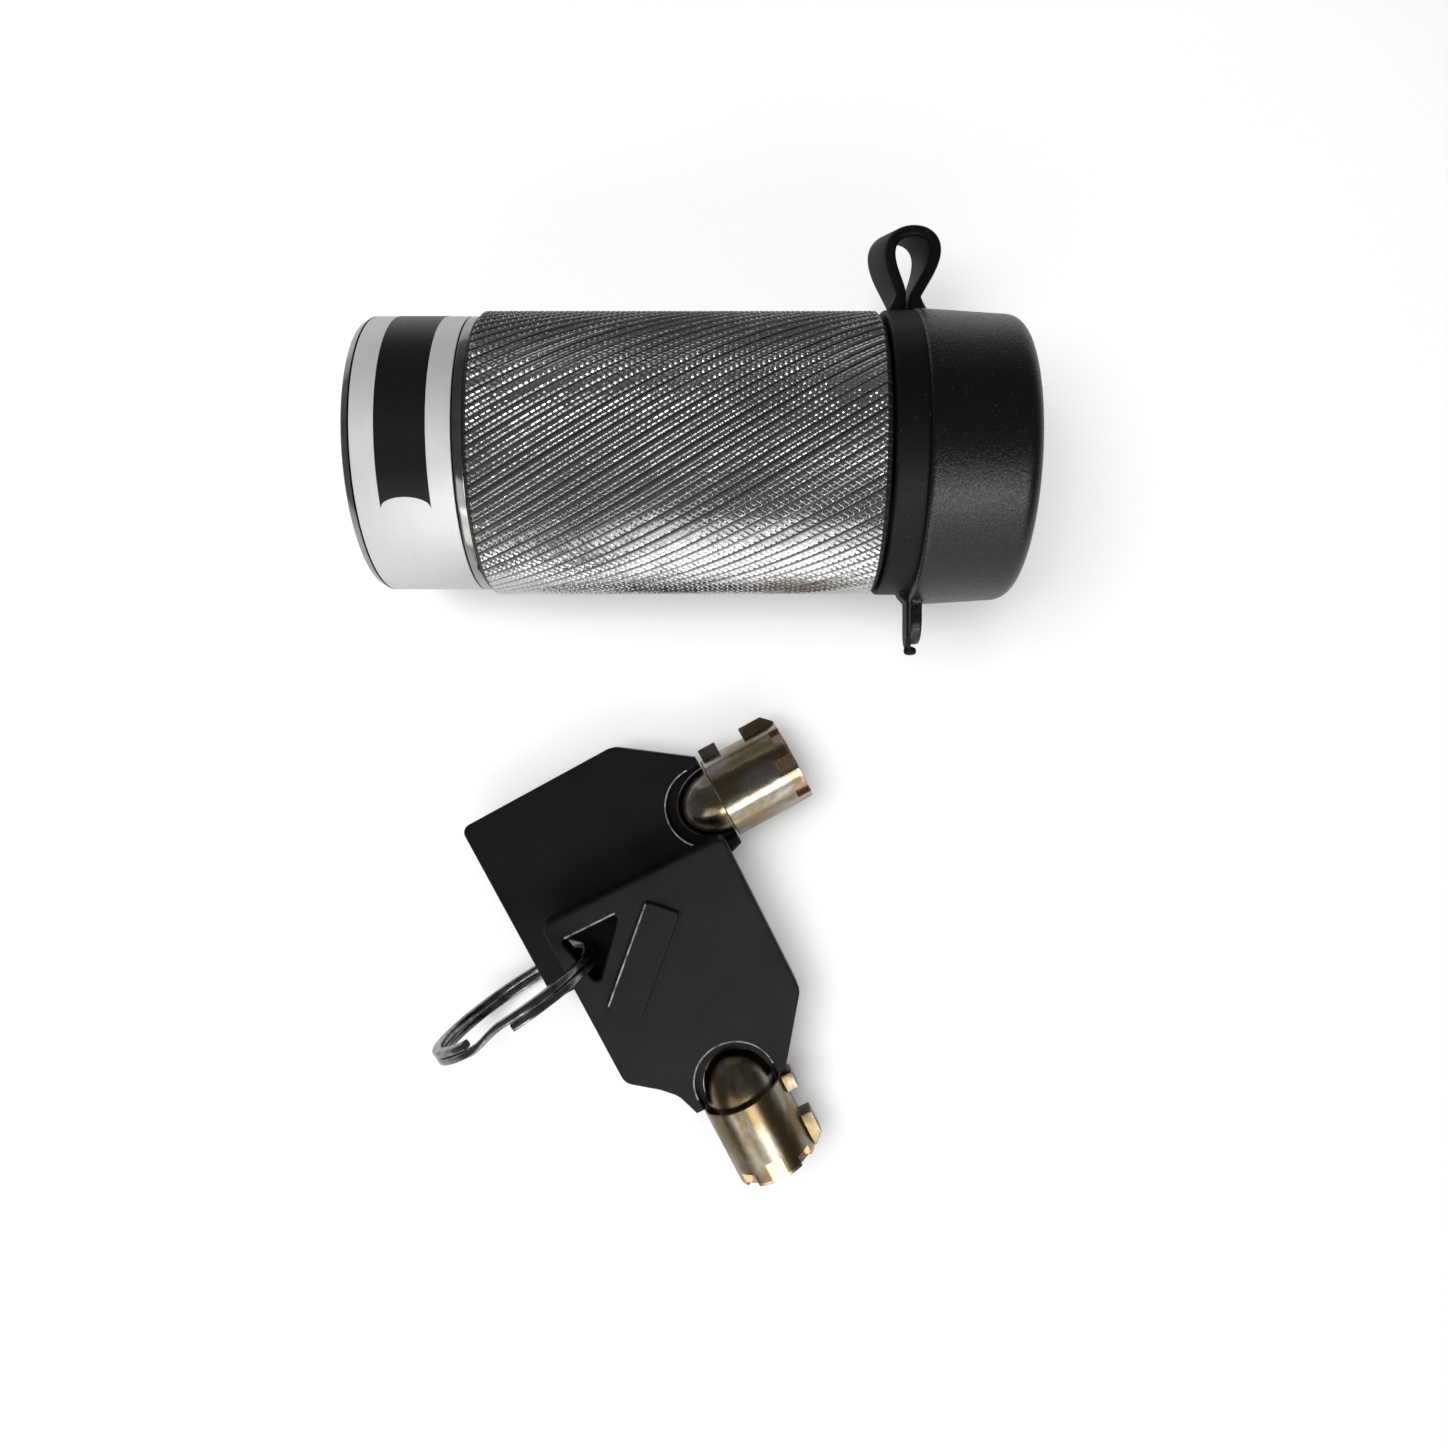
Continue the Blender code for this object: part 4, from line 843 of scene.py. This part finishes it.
def make_entry():
    """The bush that the pin enters, and its seal."""
    seal = measure("pin_seal")
    wire = (seal[3] - seal[2]) / 2
    half = (seal[1] - seal[0]) / 2 + SEAL_PLAY
    middle = (seal[0] + seal[1]) / 2
    profile = [
        (BUSH_START, PIN_BORE + BUSH_CHAMFER), (BUSH_START, BUSH_R), (BUSH_END, BUSH_R), (BUSH_END, PIN_BORE),
        (middle + half, PIN_BORE), (middle + half, seal[3] + SEAL_PLAY), (middle - half, seal[3] + SEAL_PLAY),
        (middle - half, PIN_BORE), (BUSH_START + BUSH_CHAMFER, PIN_BORE),
    ]
    make_piece("entry_bush", turned(profile), ["entry_steel"], ["front_bush"])
    ring = arc((middle, seal[2] + wire), wire, 0, 2 * pi, 20)[:-1]
    make_piece("entry_seal", turned(ring, 96, edge=0), ["seal_rubber"], ["pin_seal"])


def make_lock_face():
    """The key lock's housing with its round keyway and the slot for the key's lugs."""
    inner = measure("pin_bushing")[3] + FIT
    keyway = TUBE_R + KEYWAY_PLAY
    wall = CYLINDER_END - LOCK_FRONT
    profile = [(CYLINDER_START, inner), (CYLINDER_START, CYLINDER_R), (CYLINDER_END, CYLINDER_R),
               (CYLINDER_END, keyway), (wall, keyway), (wall, inner)]
    slot = bmesh.new()
    half = LUG_WIDTH / 2 + FIT
    add_block(slot, (wall - FIT, -half, 0.0), (CYLINDER_END + FIT, half, TUBE_R + LUG_HEIGHT + FIT))
    housing = combined(turned(profile), slot, "DIFFERENCE")
    make_piece("lock_face", housing, ["zinc_casting"], ["lock_cylinder"])


# ---- rubber ----


def moulded(shape, voxel, passes):
    """Melt overlapping closed shapes into one skin with soft fillets."""
    return evaluated(shape, ("REMESH", {"mode": "VOXEL", "voxel_size": voxel, "use_smooth_shade": True}),
                     ("SMOOTH", {"factor": 0.5, "iterations": passes}))


def add_tab(shape, near, far, width, low, high):
    """A flat tab with a round end that reaches towards -y, from x = low to x = high."""
    half = width / 2
    end = arc((-(far - half), 0.0), half, pi / 2, 3 * pi / 2, 24)
    corners = add_prism(shape, [(-near, half)] + end + [(-near, -half)], low, high)
    onto_yz = Matrix(((0, 0, 1, 0), (1, 0, 0, 0), (0, 1, 0, 0), (0, 0, 0, 1)))
    bmesh.ops.transform(shape, matrix=onto_yz, verts=corners)


def nub(start, end, radius):
    """A small round-ended pin along x."""
    profile = arc((start + radius, 0), radius, pi, pi / 2, 6) + arc((end - radius, 0), radius, pi / 2, 0, 6)
    return turned([(x, max(0.0, r)) for x, r in profile[1:-1]], 24, edge=0)


def cap_radii():
    """The rim and end radius of the dust cap, from its CAD node."""
    rim = drawn_box("dust_cap", LOCK)[1].y + CAP_SAG
    return rim, rim - CAP_FLARE


def make_collar():
    """Rubber ring in the barrel's groove, with its thin tab, the gusset under it and a nub."""
    low, high = drawn_box("retaining_collar", LOCK)
    reach, outer = -low.y, high.y
    end = COLLAR_END - COLLAR_TAB_THICK / 6
    profile = [(COLLAR_START, COLLAR_INNER), (COLLAR_START, outer), (end, outer), (end, COLLAR_INNER)]
    shape = turned(profile, edge=RUBBER_EDGE)
    tab_start = COLLAR_END - COLLAR_TAB_THICK
    tab_reach = reach - NUB_R * 1.5
    add_tab(shape, outer - STRAP_THICK, tab_reach, COLLAR_TAB_WIDTH, tab_start, COLLAR_END)
    middle = COLLAR_END - COLLAR_TAB_THICK / 2
    foot = outer - 2 * FIT
    back = COLLAR_END - COLLAR_GUSSET
    gusset = [(middle, -foot), (back, -foot), (back, -outer - FIT), (middle, -outer - COLLAR_GUSSET)]
    add_prism(shape, gusset, -COLLAR_TAB_WIDTH / 2 + FIT, COLLAR_TAB_WIDTH / 2 - FIT)
    pin = nub(COLLAR_END - NUB_LENGTH / 2, COLLAR_END + NUB_LENGTH / 2, NUB_R)
    bmesh.ops.translate(pin, verts=pin.verts, vec=(0, -(reach - NUB_R), 0))
    merge_into(shape, pin)
    make_piece("rubber_collar", moulded(shape, COLLAR_VOXEL, 4), ["matt_rubber"], ["retaining_collar"],
               sharp=70)


def make_cap():
    """Rubber cup that sags a little off the axis, with its pull tab."""
    rim, end = cap_radii()
    reach = -drawn_box("dust_cap", LOCK)[0].y - CAP_SAG
    corner = arc((CAP_END - CAP_CORNER, end - CAP_CORNER), CAP_CORNER, 0, pi / 2, 8)
    floor = CAP_END - CAP_END_WALL
    profile = [(floor, 0), (CAP_END, 0)] + corner
    profile += [(CAP_START + RUBBER_EDGE, rim), (CAP_START, rim - RUBBER_EDGE), (CAP_START, rim - CAP_WALL),
                (floor, end - CAP_WALL)]
    shape = turned(profile, edge=0)
    tab = CAP_START + FIT / 3
    add_tab(shape, rim - CAP_WALL / 2, reach, CAP_TAB_WIDTH, tab, tab + CAP_TAB_THICK)
    bmesh.ops.translate(shape, verts=shape.verts, vec=(0, -CAP_SAG, 0))
    make_piece("rubber_cap", moulded(shape, CAP_VOXEL, 14), ["black_rubber"], ["dust_cap"], body="cap",
               sharp=70)


def strap_path(collar, rim):
    """(x, y, thickness) along the strap: up from the collar, round a teardrop and down to the cap's rim."""
    pinch = rim + STRAP_NECK
    top = pinch + STRAP_LOOP - STRAP_THICK / 2
    middle = CAP_START - FIT / 2
    half_height = (top - pinch) / (1 + cos(STRAP_TURN))
    steps = 96
    points = []
    for i in range(steps + 1):
        turn = STRAP_TURN + (2 * pi - 2 * STRAP_TURN) * i / steps
        bulge = STRAP_HALF_WIDTH * abs(sin(turn)) * sin(turn / 2) ** STRAP_BELLY / STRAP_BELLY_PEAK
        swing = sqrt(bulge ** 2 + STRAP_PINCH ** 2 * cos(turn / 2) ** 2 / cos(STRAP_TURN / 2) ** 2)
        side = -1 if turn < pi else 1
        points.append((middle + side * swing, top - half_height * (1 + cos(turn)), STRAP_THICK))
    out, thick = [(STRAP_ROOT + STRAP_THICK) * share for share in STRAP_WAIST]
    ends = []
    for side, base in ((-1, collar), (1, rim - CAP_SAG)):
        root = (middle + side * (STRAP_ROOT / 2 + FIT / 2), base - FIT, STRAP_ROOT)
        ends.append([root, (middle + side * out, (base + pinch) / 2, thick)])
    return ends[0] + points + ends[1][::-1]


def make_strap():
    """Rubber ribbon looped from the collar to the cap."""
    collar = drawn_box("retaining_collar", LOCK)[1].y
    rim, _ = cap_radii()
    path = strap_path(collar, rim)
    last = len(path) - 1
    sections = []
    for i, (x, y, thick) in enumerate(path):
        before, after = path[max(i - 1, 0)], path[min(i + 1, last)]
        along = Vector((after[0] - before[0], after[1] - before[1], 0))
        if i in (0, last):
            along = Vector((0, 1 if i == 0 else -1, 0))
        normal = Vector((-along.y, along.x, 0)).normalized()
        side = Vector((0, 0, -1)).lerp(STRAP_LEAN.normalized(), sin(pi * i / last) ** 0.8)
        corners = oblong(-STRAP_WIDTH / 2, -thick / 2, STRAP_WIDTH / 2, thick / 2)
        outline = rounded(corners, (thick * STRAP_CORNER,) * 4, 4)
        sections.append([Vector((x, y, 0)) + side * across + normal * out for across, out in outline])
    strap = make_piece("strap", swept(sections), ["matt_rubber"], ["strap_loop"],
                       body=None, sharp=60)
    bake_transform(strap)


# ---- keys ----


def key_frame(index):
    """A key's own frame: origin at the bow's corner beside the eyelet, in the middle of its thickness."""
    swing = joint(f"key_{index + 1}_swing")
    pivot, up = Vector(swing["pos_m"]), Vector(swing["axis"]).normalized()
    heading = KEY_HEADINGS[index]
    across = Vector((-sin(heading), cos(heading), 0))
    along = across.cross(up).normalized()
    turn = Matrix((along, across, up)).transposed().to_4x4()
    place = Matrix.Translation(pivot) @ turn
    corner = drawn_box(f"key_{index + 1}_bow", place)[0].xy.to_3d() * MM
    return place @ Matrix.Translation(corner)


def bow_outline(length, width, neck):
    """The bow seen from above: square ring end, sides that draw in to the neck, one with a hollow curve."""
    left = [(0, 0), *BOW_SHOULDER, (length, (width - neck) / 2)]
    right = [(length, (width + neck) / 2), (BOW_TAPER, width), (0, width)]
    return rounded(left + right, BOW_CORNERS, 8)


def window_arc(length, width, grown=0.0):
    """The round end of the window that the tube's nose shows in, `grown` wider."""
    return arc((length - WINDOW_INSET, width / 2), WINDOW_R + grown, -pi / 2, -3 * pi / 2, 40)


def plate(outlines, thick, edge):
    """A flat plate with round edges: the first outline is its rim, the others are holes in it."""
    curve = bpy.data.curves.new("plate", "CURVE")
    curve.dimensions = "2D"
    curve.fill_mode = "BOTH"
    curve.extrude = thick / 2 - edge
    curve.bevel_depth = edge
    curve.bevel_resolution = 3
    curve.offset = -edge
    for outline in outlines:
        spline = curve.splines.new("POLY")
        spline.points.add(len(outline) - 1)
        spline.use_cyclic_u = True
        for point, (x, y) in zip(spline.points, outline):
            point.co = (x, y, 0, 1)
    holder = bpy.data.objects.new("plate", curve)
    shape = bmesh.new()
    shape.from_mesh(holder.to_mesh())
    bpy.data.objects.remove(holder)
    bpy.data.curves.remove(curve)
    bmesh.ops.remove_doubles(shape, verts=shape.verts, dist=1e-4)
    return shape


def bow_shape(index, name, place):
    """The bow with its eyelet, raised bar, lipped window and the dark web in it, which is painted shade; pale
    rubbed edges are painted highlight; faces carry their finish.
    """
    length, width, _ = drawn_box(f"{name}_bow", place)[1]
    neck = [point.y for point in drawn_points(f"{name}_bow", place) if point.x > length - 0.1]
    pivot = place.inverted() @ Vector(joint(f"{name}_swing")["pos_m"]) / MM
    corners = [pivot.xy + (Vector(corner) - pivot.xy) * EYELET_SCALES[index] for corner in EYELET]
    eyelet = rounded(corners, (EYELET_CORNERS[index],) * 3, 5)
    window = window_arc(length, width)
    rim = []
    for corner in bow_outline(length, width, max(neck) - min(neck)):
        rim.append(corner)
        if abs(corner[0] - length) < 1e-6 and corner[1] < width / 2:
            rim += [(length, width / 2 - WINDOW_R), *window, (length, width / 2 + WINDOW_R)]
    shape = plate([rim, eyelet], BOW_THICK, BOW_EDGE)
    merge_into(shape, bar_shape(index))
    lip = swept(lip_sections(window, length))
    # painted highlight: a pale rubbed strip along the eyelet's upper edge
    if BAR_SIDES[index] > 0:
        near, far = corners[0], corners[2]
        add_block(lip, (near.x - RIM_WIDTH, near.y + EYELET_RIM, BOW_THICK / 2 - RIM_DEPTH),
                  (near.x + RIM_PROUD, far.y - EYELET_RIM, BOW_THICK / 2 + RIM_PROUD))
    # the lip and the eyelet's strip take the pale rubbed finish, worn edges painted as highlights
    merge_into(shape, lip, RUBBED_HIGHLIGHT)
    # painted shade: a dark matt web fills the window's gap round the nose
    shade_web = bmesh.new()
    add_prism(shade_web, shade_web_outline(length, width), *SHADE_WEB_LEVELS)
    merge_into(shape, shade_web, SHADED)
    return shape


def bar_shape(index):
    """The raised bar; where it faces up, one long side has a pale strip painted as its highlight and two
    sides stand on a dark matt foot painted as their shadow.
    """
    long, wide = BAR_LENGTH / 2, BAR_WIDTH / 2
    radii = (BAR_CORNER,) * 4
    bar = plate([rounded(oblong(-long, -wide, long, wide), radii, 6)], 2 * BAR_HEIGHT, BAR_EDGE)
    if BAR_SIDES[index] > 0:
        # painted highlight: a pale rubbed strip along one long side
        strip = add_block(bar, (-long + BAR_RIM[0], -wide - BAR_RIM_PROUD, BAR_HEIGHT - RIM_DEPTH),
                          (long - BAR_RIM[1], -wide + RIM_WIDTH, BAR_HEIGHT + BAR_RIM_PROUD))
        for face in bar.faces:
            face.material_index = RUBBED_HIGHLIGHT if all(vert in strip for vert in face.verts) else 0
        # painted shadow: a dark matt foot beyond the bar's two shaded sides
        foot = bmesh.new()
        outline = rounded(oblong(-long, -wide, long + BAR_SHADE, wide + BAR_SHADE), radii, 6)
        add_prism(foot, outline, 0.0, BAR_HEIGHT / 2)
        merge_into(bar, foot, SHADED)
    lift = Matrix.Translation((*BAR_CENTRE, BAR_SIDES[index] * BOW_THICK / 2))
    bmesh.ops.transform(bar, matrix=lift @ Matrix.Rotation(BAR_ANGLE, 4, "Z"), verts=bar.verts)
    return bar


def shade_web_outline(length, width):
    """The thin dark web in the window round the tube's domed nose, a sheet that stands in for the shade in
    the window's gap.
    """
    middle, wide = width / 2, WINDOW_R + SHADE_WEB_GAP
    start = length + FIT
    nose = [(start - (DOME_LENGTH + SHADE_WEB_GAP) * cos(turn), middle + (DOME_R + SHADE_WEB_GAP) * sin(turn))
            for turn in (pi / 2 - pi * i / 40 for i in range(41))]
    nose = [corner for corner in nose if corner[0] < length]
    return [(length, middle - wide), *window_arc(length, width, SHADE_WEB_GAP), (length, middle + wide),
            (length, nose[0][1]), *nose, (length, nose[-1][1])]


def lip_sections(path, length):
    """The thin raised lip round the window, on the upper face."""
    high = BOW_THICK / 2 + WINDOW_LIP_PROUD
    centre = Vector((length - WINDOW_INSET, sum(y for _, y in path) / len(path)))
    sections = []
    for x, y in path:
        out = (Vector((x, y)) - centre).normalized()
        near, far = Vector((x, y)) + out * LIP_CROWN, Vector((x, y)) + out * WINDOW_LIP
        soft = out * LIP_EDGE
        sections.append([(*near, high - LIP_ROOT), (*far, high - LIP_ROOT), (*(far - soft), high - LIP_CROWN),
                         (*near.lerp(far, 0.5), high), (*(near + soft), high - LIP_CROWN)])
    return sections


def tube_shape(name, place):
    """Domed nose, tang, drawn tube with two lugs and the milled rim; cut faces have their own finish."""
    start, width, _ = drawn_box(f"{name}_bow", place)[1]
    start += FIT
    tang, end = [corner.x for corner in drawn_box(f"{name}_tube", place)]
    bore = TUBE_R - KEY_WALL
    soft, cut = KEY_CHAMFERS
    dome = [(start - DOME_LENGTH * cos(pi / 2 * i / 20), DOME_R * sin(pi / 2 * i / 20)) for i in range(20)]
    profile = dome + [
        (start, DOME_R), (start, TUBE_R - soft), (start + soft, TUBE_R), (end - CUT_RIM, TUBE_R),
        (end - cut, TUBE_R), (end, TUBE_R - cut), (end, bore + cut), (end - cut, bore),
        (start + KEY_WALL, bore), (start + KEY_WALL, 0),
    ]
    shape = turned(profile, TUBE_ROUND, edge=0)
    root, crest = TUBE_R - KEY_WALL / 2, TUBE_R + LUG_HEIGHT
    for offset, length, chamfer in LUGS:
        low, high = start + offset, start + offset + length
        outline = [(low, root), (high, root), (high, crest - chamfer), (high - chamfer, crest), (low, crest)]
        lug = plate([rounded(list(dict.fromkeys(outline)), (LUG_CORNER,) * 5, 2)], LUG_WIDTH, LUG_EDGE)
        shape = combined(shape, lug, "UNION")
    cuts = bmesh.new()
    inner, outer = TUBE_R - BITTING_DEPTH, TUBE_R + LUG_HEIGHT / 2
    half = BITTING_WIDTH / 2
    for pin, depth in enumerate(BITTING, start=1):
        turn = Matrix.Rotation(2 * pi * pin / PIN_PLACES, 4, "X")
        add_block(cuts, (end - depth, inner, -half), (end + FIT, outer, half), turn)
    shape = combined(shape, cuts, "DIFFERENCE")
    for face in shape.faces:
        middle = face.calc_center_median()
        away = hypot(middle.y, middle.z)
        drawn_wall = away > TUBE_R - 0.02 or away < bore + 0.02
        notch = middle.x > end - max(BITTING) - 0.01 and not drawn_wall
        face.material_index = 1 if notch or middle.x > end - CUT_RIM else 0
    wide, thick = TANG
    blade = bmesh.new()
    add_block(blade, (tang, -wide, -thick), (start - DOME_LENGTH / 2, wide, thick))
    merge_into(shape, blade)
    bmesh.ops.translate(shape, verts=shape.verts, vec=(0, width / 2, 0))
    return shape


def make_key(index):
    name = f"key_{index + 1}"
    place = key_frame(index)
    make_piece(f"{name}_plate", bow_shape(index, name, place), BOW_FINISHES, [f"{name}_bow"], body=name,
               place=place, sharp=9)
    make_piece(f"{name}_shank", tube_shape(name, place), [PLATINGS[index], "cut_brass"], [f"{name}_tube"],
               body=name, place=place)


# ---- split ring ----


def make_ring():
    """Flat wire wound twice round, stepping across to the second turn between its own two ends."""
    low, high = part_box("split_ring")
    level = Vector((cos(RING_HEADING), sin(RING_HEADING), 0))
    side = Vector((sin(RING_HEADING), -cos(RING_HEADING), 0))
    upward = Vector((0, 0, 1)) * cos(RING_LEAN) + side * sin(RING_LEAN)
    normal = level.cross(upward)
    start = RING_SPLIT + RING_JOG / 2
    total = 4 * pi - RING_JOG - RING_GAP
    jog_start = 2 * pi - RING_JOG
    half_radial, half_axial = WIRE_RADIAL / 2, WIRE_AXIAL / 2
    wire = rounded(oblong(-half_radial, -half_axial, half_radial, half_axial), (WIRE_CORNER,) * 4, 3)
    steps = 320
    sections = []
    for i in range(steps + 1):
        along = total * i / steps
        share = min(max((along - jog_start) / RING_JOG, 0.0), 1.0)
        across = WIRE_PITCH * (share * share * (3 - 2 * share) - 0.5)
        out = cos(start + along) * level + sin(start + along) * upward
        sections.append([out * (RING_R + reach) + normal * (across + aside) for reach, aside in wire])
    place = Matrix.Translation((low + high) / 2)
    make_piece("split_ring_wire", swept(sections), ["ring_steel"], ["split_ring"],
               body="ring", place=place, sharp=40)


# ---- stage ----


def make_floor():
    """Pale table top, white round the object and greyer further off; the object's shadow stays on it."""
    far, near = [(grey,) * 3 for grey in FLOOR_GREYS]
    look = Look("table_top", near, 0.9, specular_ior_level=0.0)
    share = look.level(look.reach(look.place(), 0, 1), *FLOOR_FADE, 1.0, 0.0)
    path = look.new("LightPath")
    mirrored = look.maths("MAXIMUM", path.outputs["Is Glossy Ray"], path.outputs["Is Transmission Ray"])
    look.paint(look.tint(look.maths("SUBTRACT", share, mirrored), far, near))
    mirrored = look.maths("MULTIPLY", look.maths("MULTIPLY", mirrored, share), MIRRORED_GLOW)
    seen = look.maths("MAXIMUM", path.outputs["Is Camera Ray"], mirrored)
    # painted shade: the glow fades where the object hems the floor in, a dark rim under it
    open_sky = look.new("AmbientOcclusion", distance=SHADE_REACH * MM)
    open_sky.samples = 4
    glow = look.maths("MULTIPLY", look.maths("MULTIPLY", seen, open_sky.outputs["AO"]), FLOOR_GLOW)
    look.set(look.shader, emission_color=(1, 1, 1, 1), emission_strength=glow)
    shape = bmesh.new()
    bmesh.ops.create_circle(shape, cap_ends=True, segments=128, radius=FLOOR_R)
    bmesh.ops.scale(shape, vec=(MM, MM, MM), verts=shape.verts)
    mesh = into_mesh("floor", shape)
    mesh.materials.append(look.material)
    floor = new_object("floor", mesh)
    floor.location = (0, 0, -FLOOR_DROP * MM)


def make_world():
    """Dim studio room, a little paler at the horizon; the camera itself sees a pale backdrop."""
    world = bpy.data.worlds.new("studio")
    bpy.context.scene.world = world
    world.use_nodes = True
    room = Nodes(world.node_tree)
    ramp = room.new("ValToRGB")
    room.feed(ramp.inputs["Fac"], room.part(room.new("TexCoord").outputs["Generated"], 2))
    seen = room.new("LightPath").outputs["Is Camera Ray"]
    shown = room.tint(seen, ramp.outputs["Color"], (BACKDROP,) * 3)
    room.feed(room.nodes["Background"].inputs["Color"], shown)
    first, last = ramp.color_ramp.elements
    first.position, last.position = SKY[0][0], SKY[-1][0]
    for position, _ in SKY[1:-1]:
        ramp.color_ramp.elements.new(position)
    for element, (_, shade) in zip(ramp.color_ramp.elements, SKY):
        element.color = (shade, shade, shade * 1.01, 1)


def make_lamp(name, place, aim, size, radiance, mirrored):
    """A rectangular soft box of even brightness, turned towards `aim`."""
    lamp = bpy.data.lights.new(name, "AREA")
    lamp.shape = "RECTANGLE"
    lamp.size, lamp.size_y = size
    lamp.energy = radiance * pi * size[0] * size[1]
    made = new_object(name, lamp)
    made.location = place
    made.rotation_euler = (Vector(aim) - Vector(place)).to_track_quat("-Z", "Y").to_euler()
    made.visible_glossy = mirrored
    made.visible_diffuse = not mirrored
    made.visible_camera = False


def make_camera():
    lens = bpy.data.cameras.new("camera")
    lens.lens = LENS
    lens.sensor_width = 36.0
    lens.clip_start = 0.001
    camera = new_object("camera", lens)
    camera.location = (*VIEW_POINT, VIEW_HEIGHT)
    bpy.context.scene.camera = camera


def main():
    bpy.context.scene.view_settings.view_transform = "Standard"
    dress_cad_nodes()
    make_core()
    make_knurl()
    make_label()
    make_entry()
    make_lock_face()
    make_collar()
    make_cap()
    make_strap()
    for index in range(len(KEY_HEADINGS)):
        make_key(index)
    make_ring()
    make_floor()
    make_world()
    for lamp in LAMPS:
        make_lamp(*lamp)
    make_camera()


main()
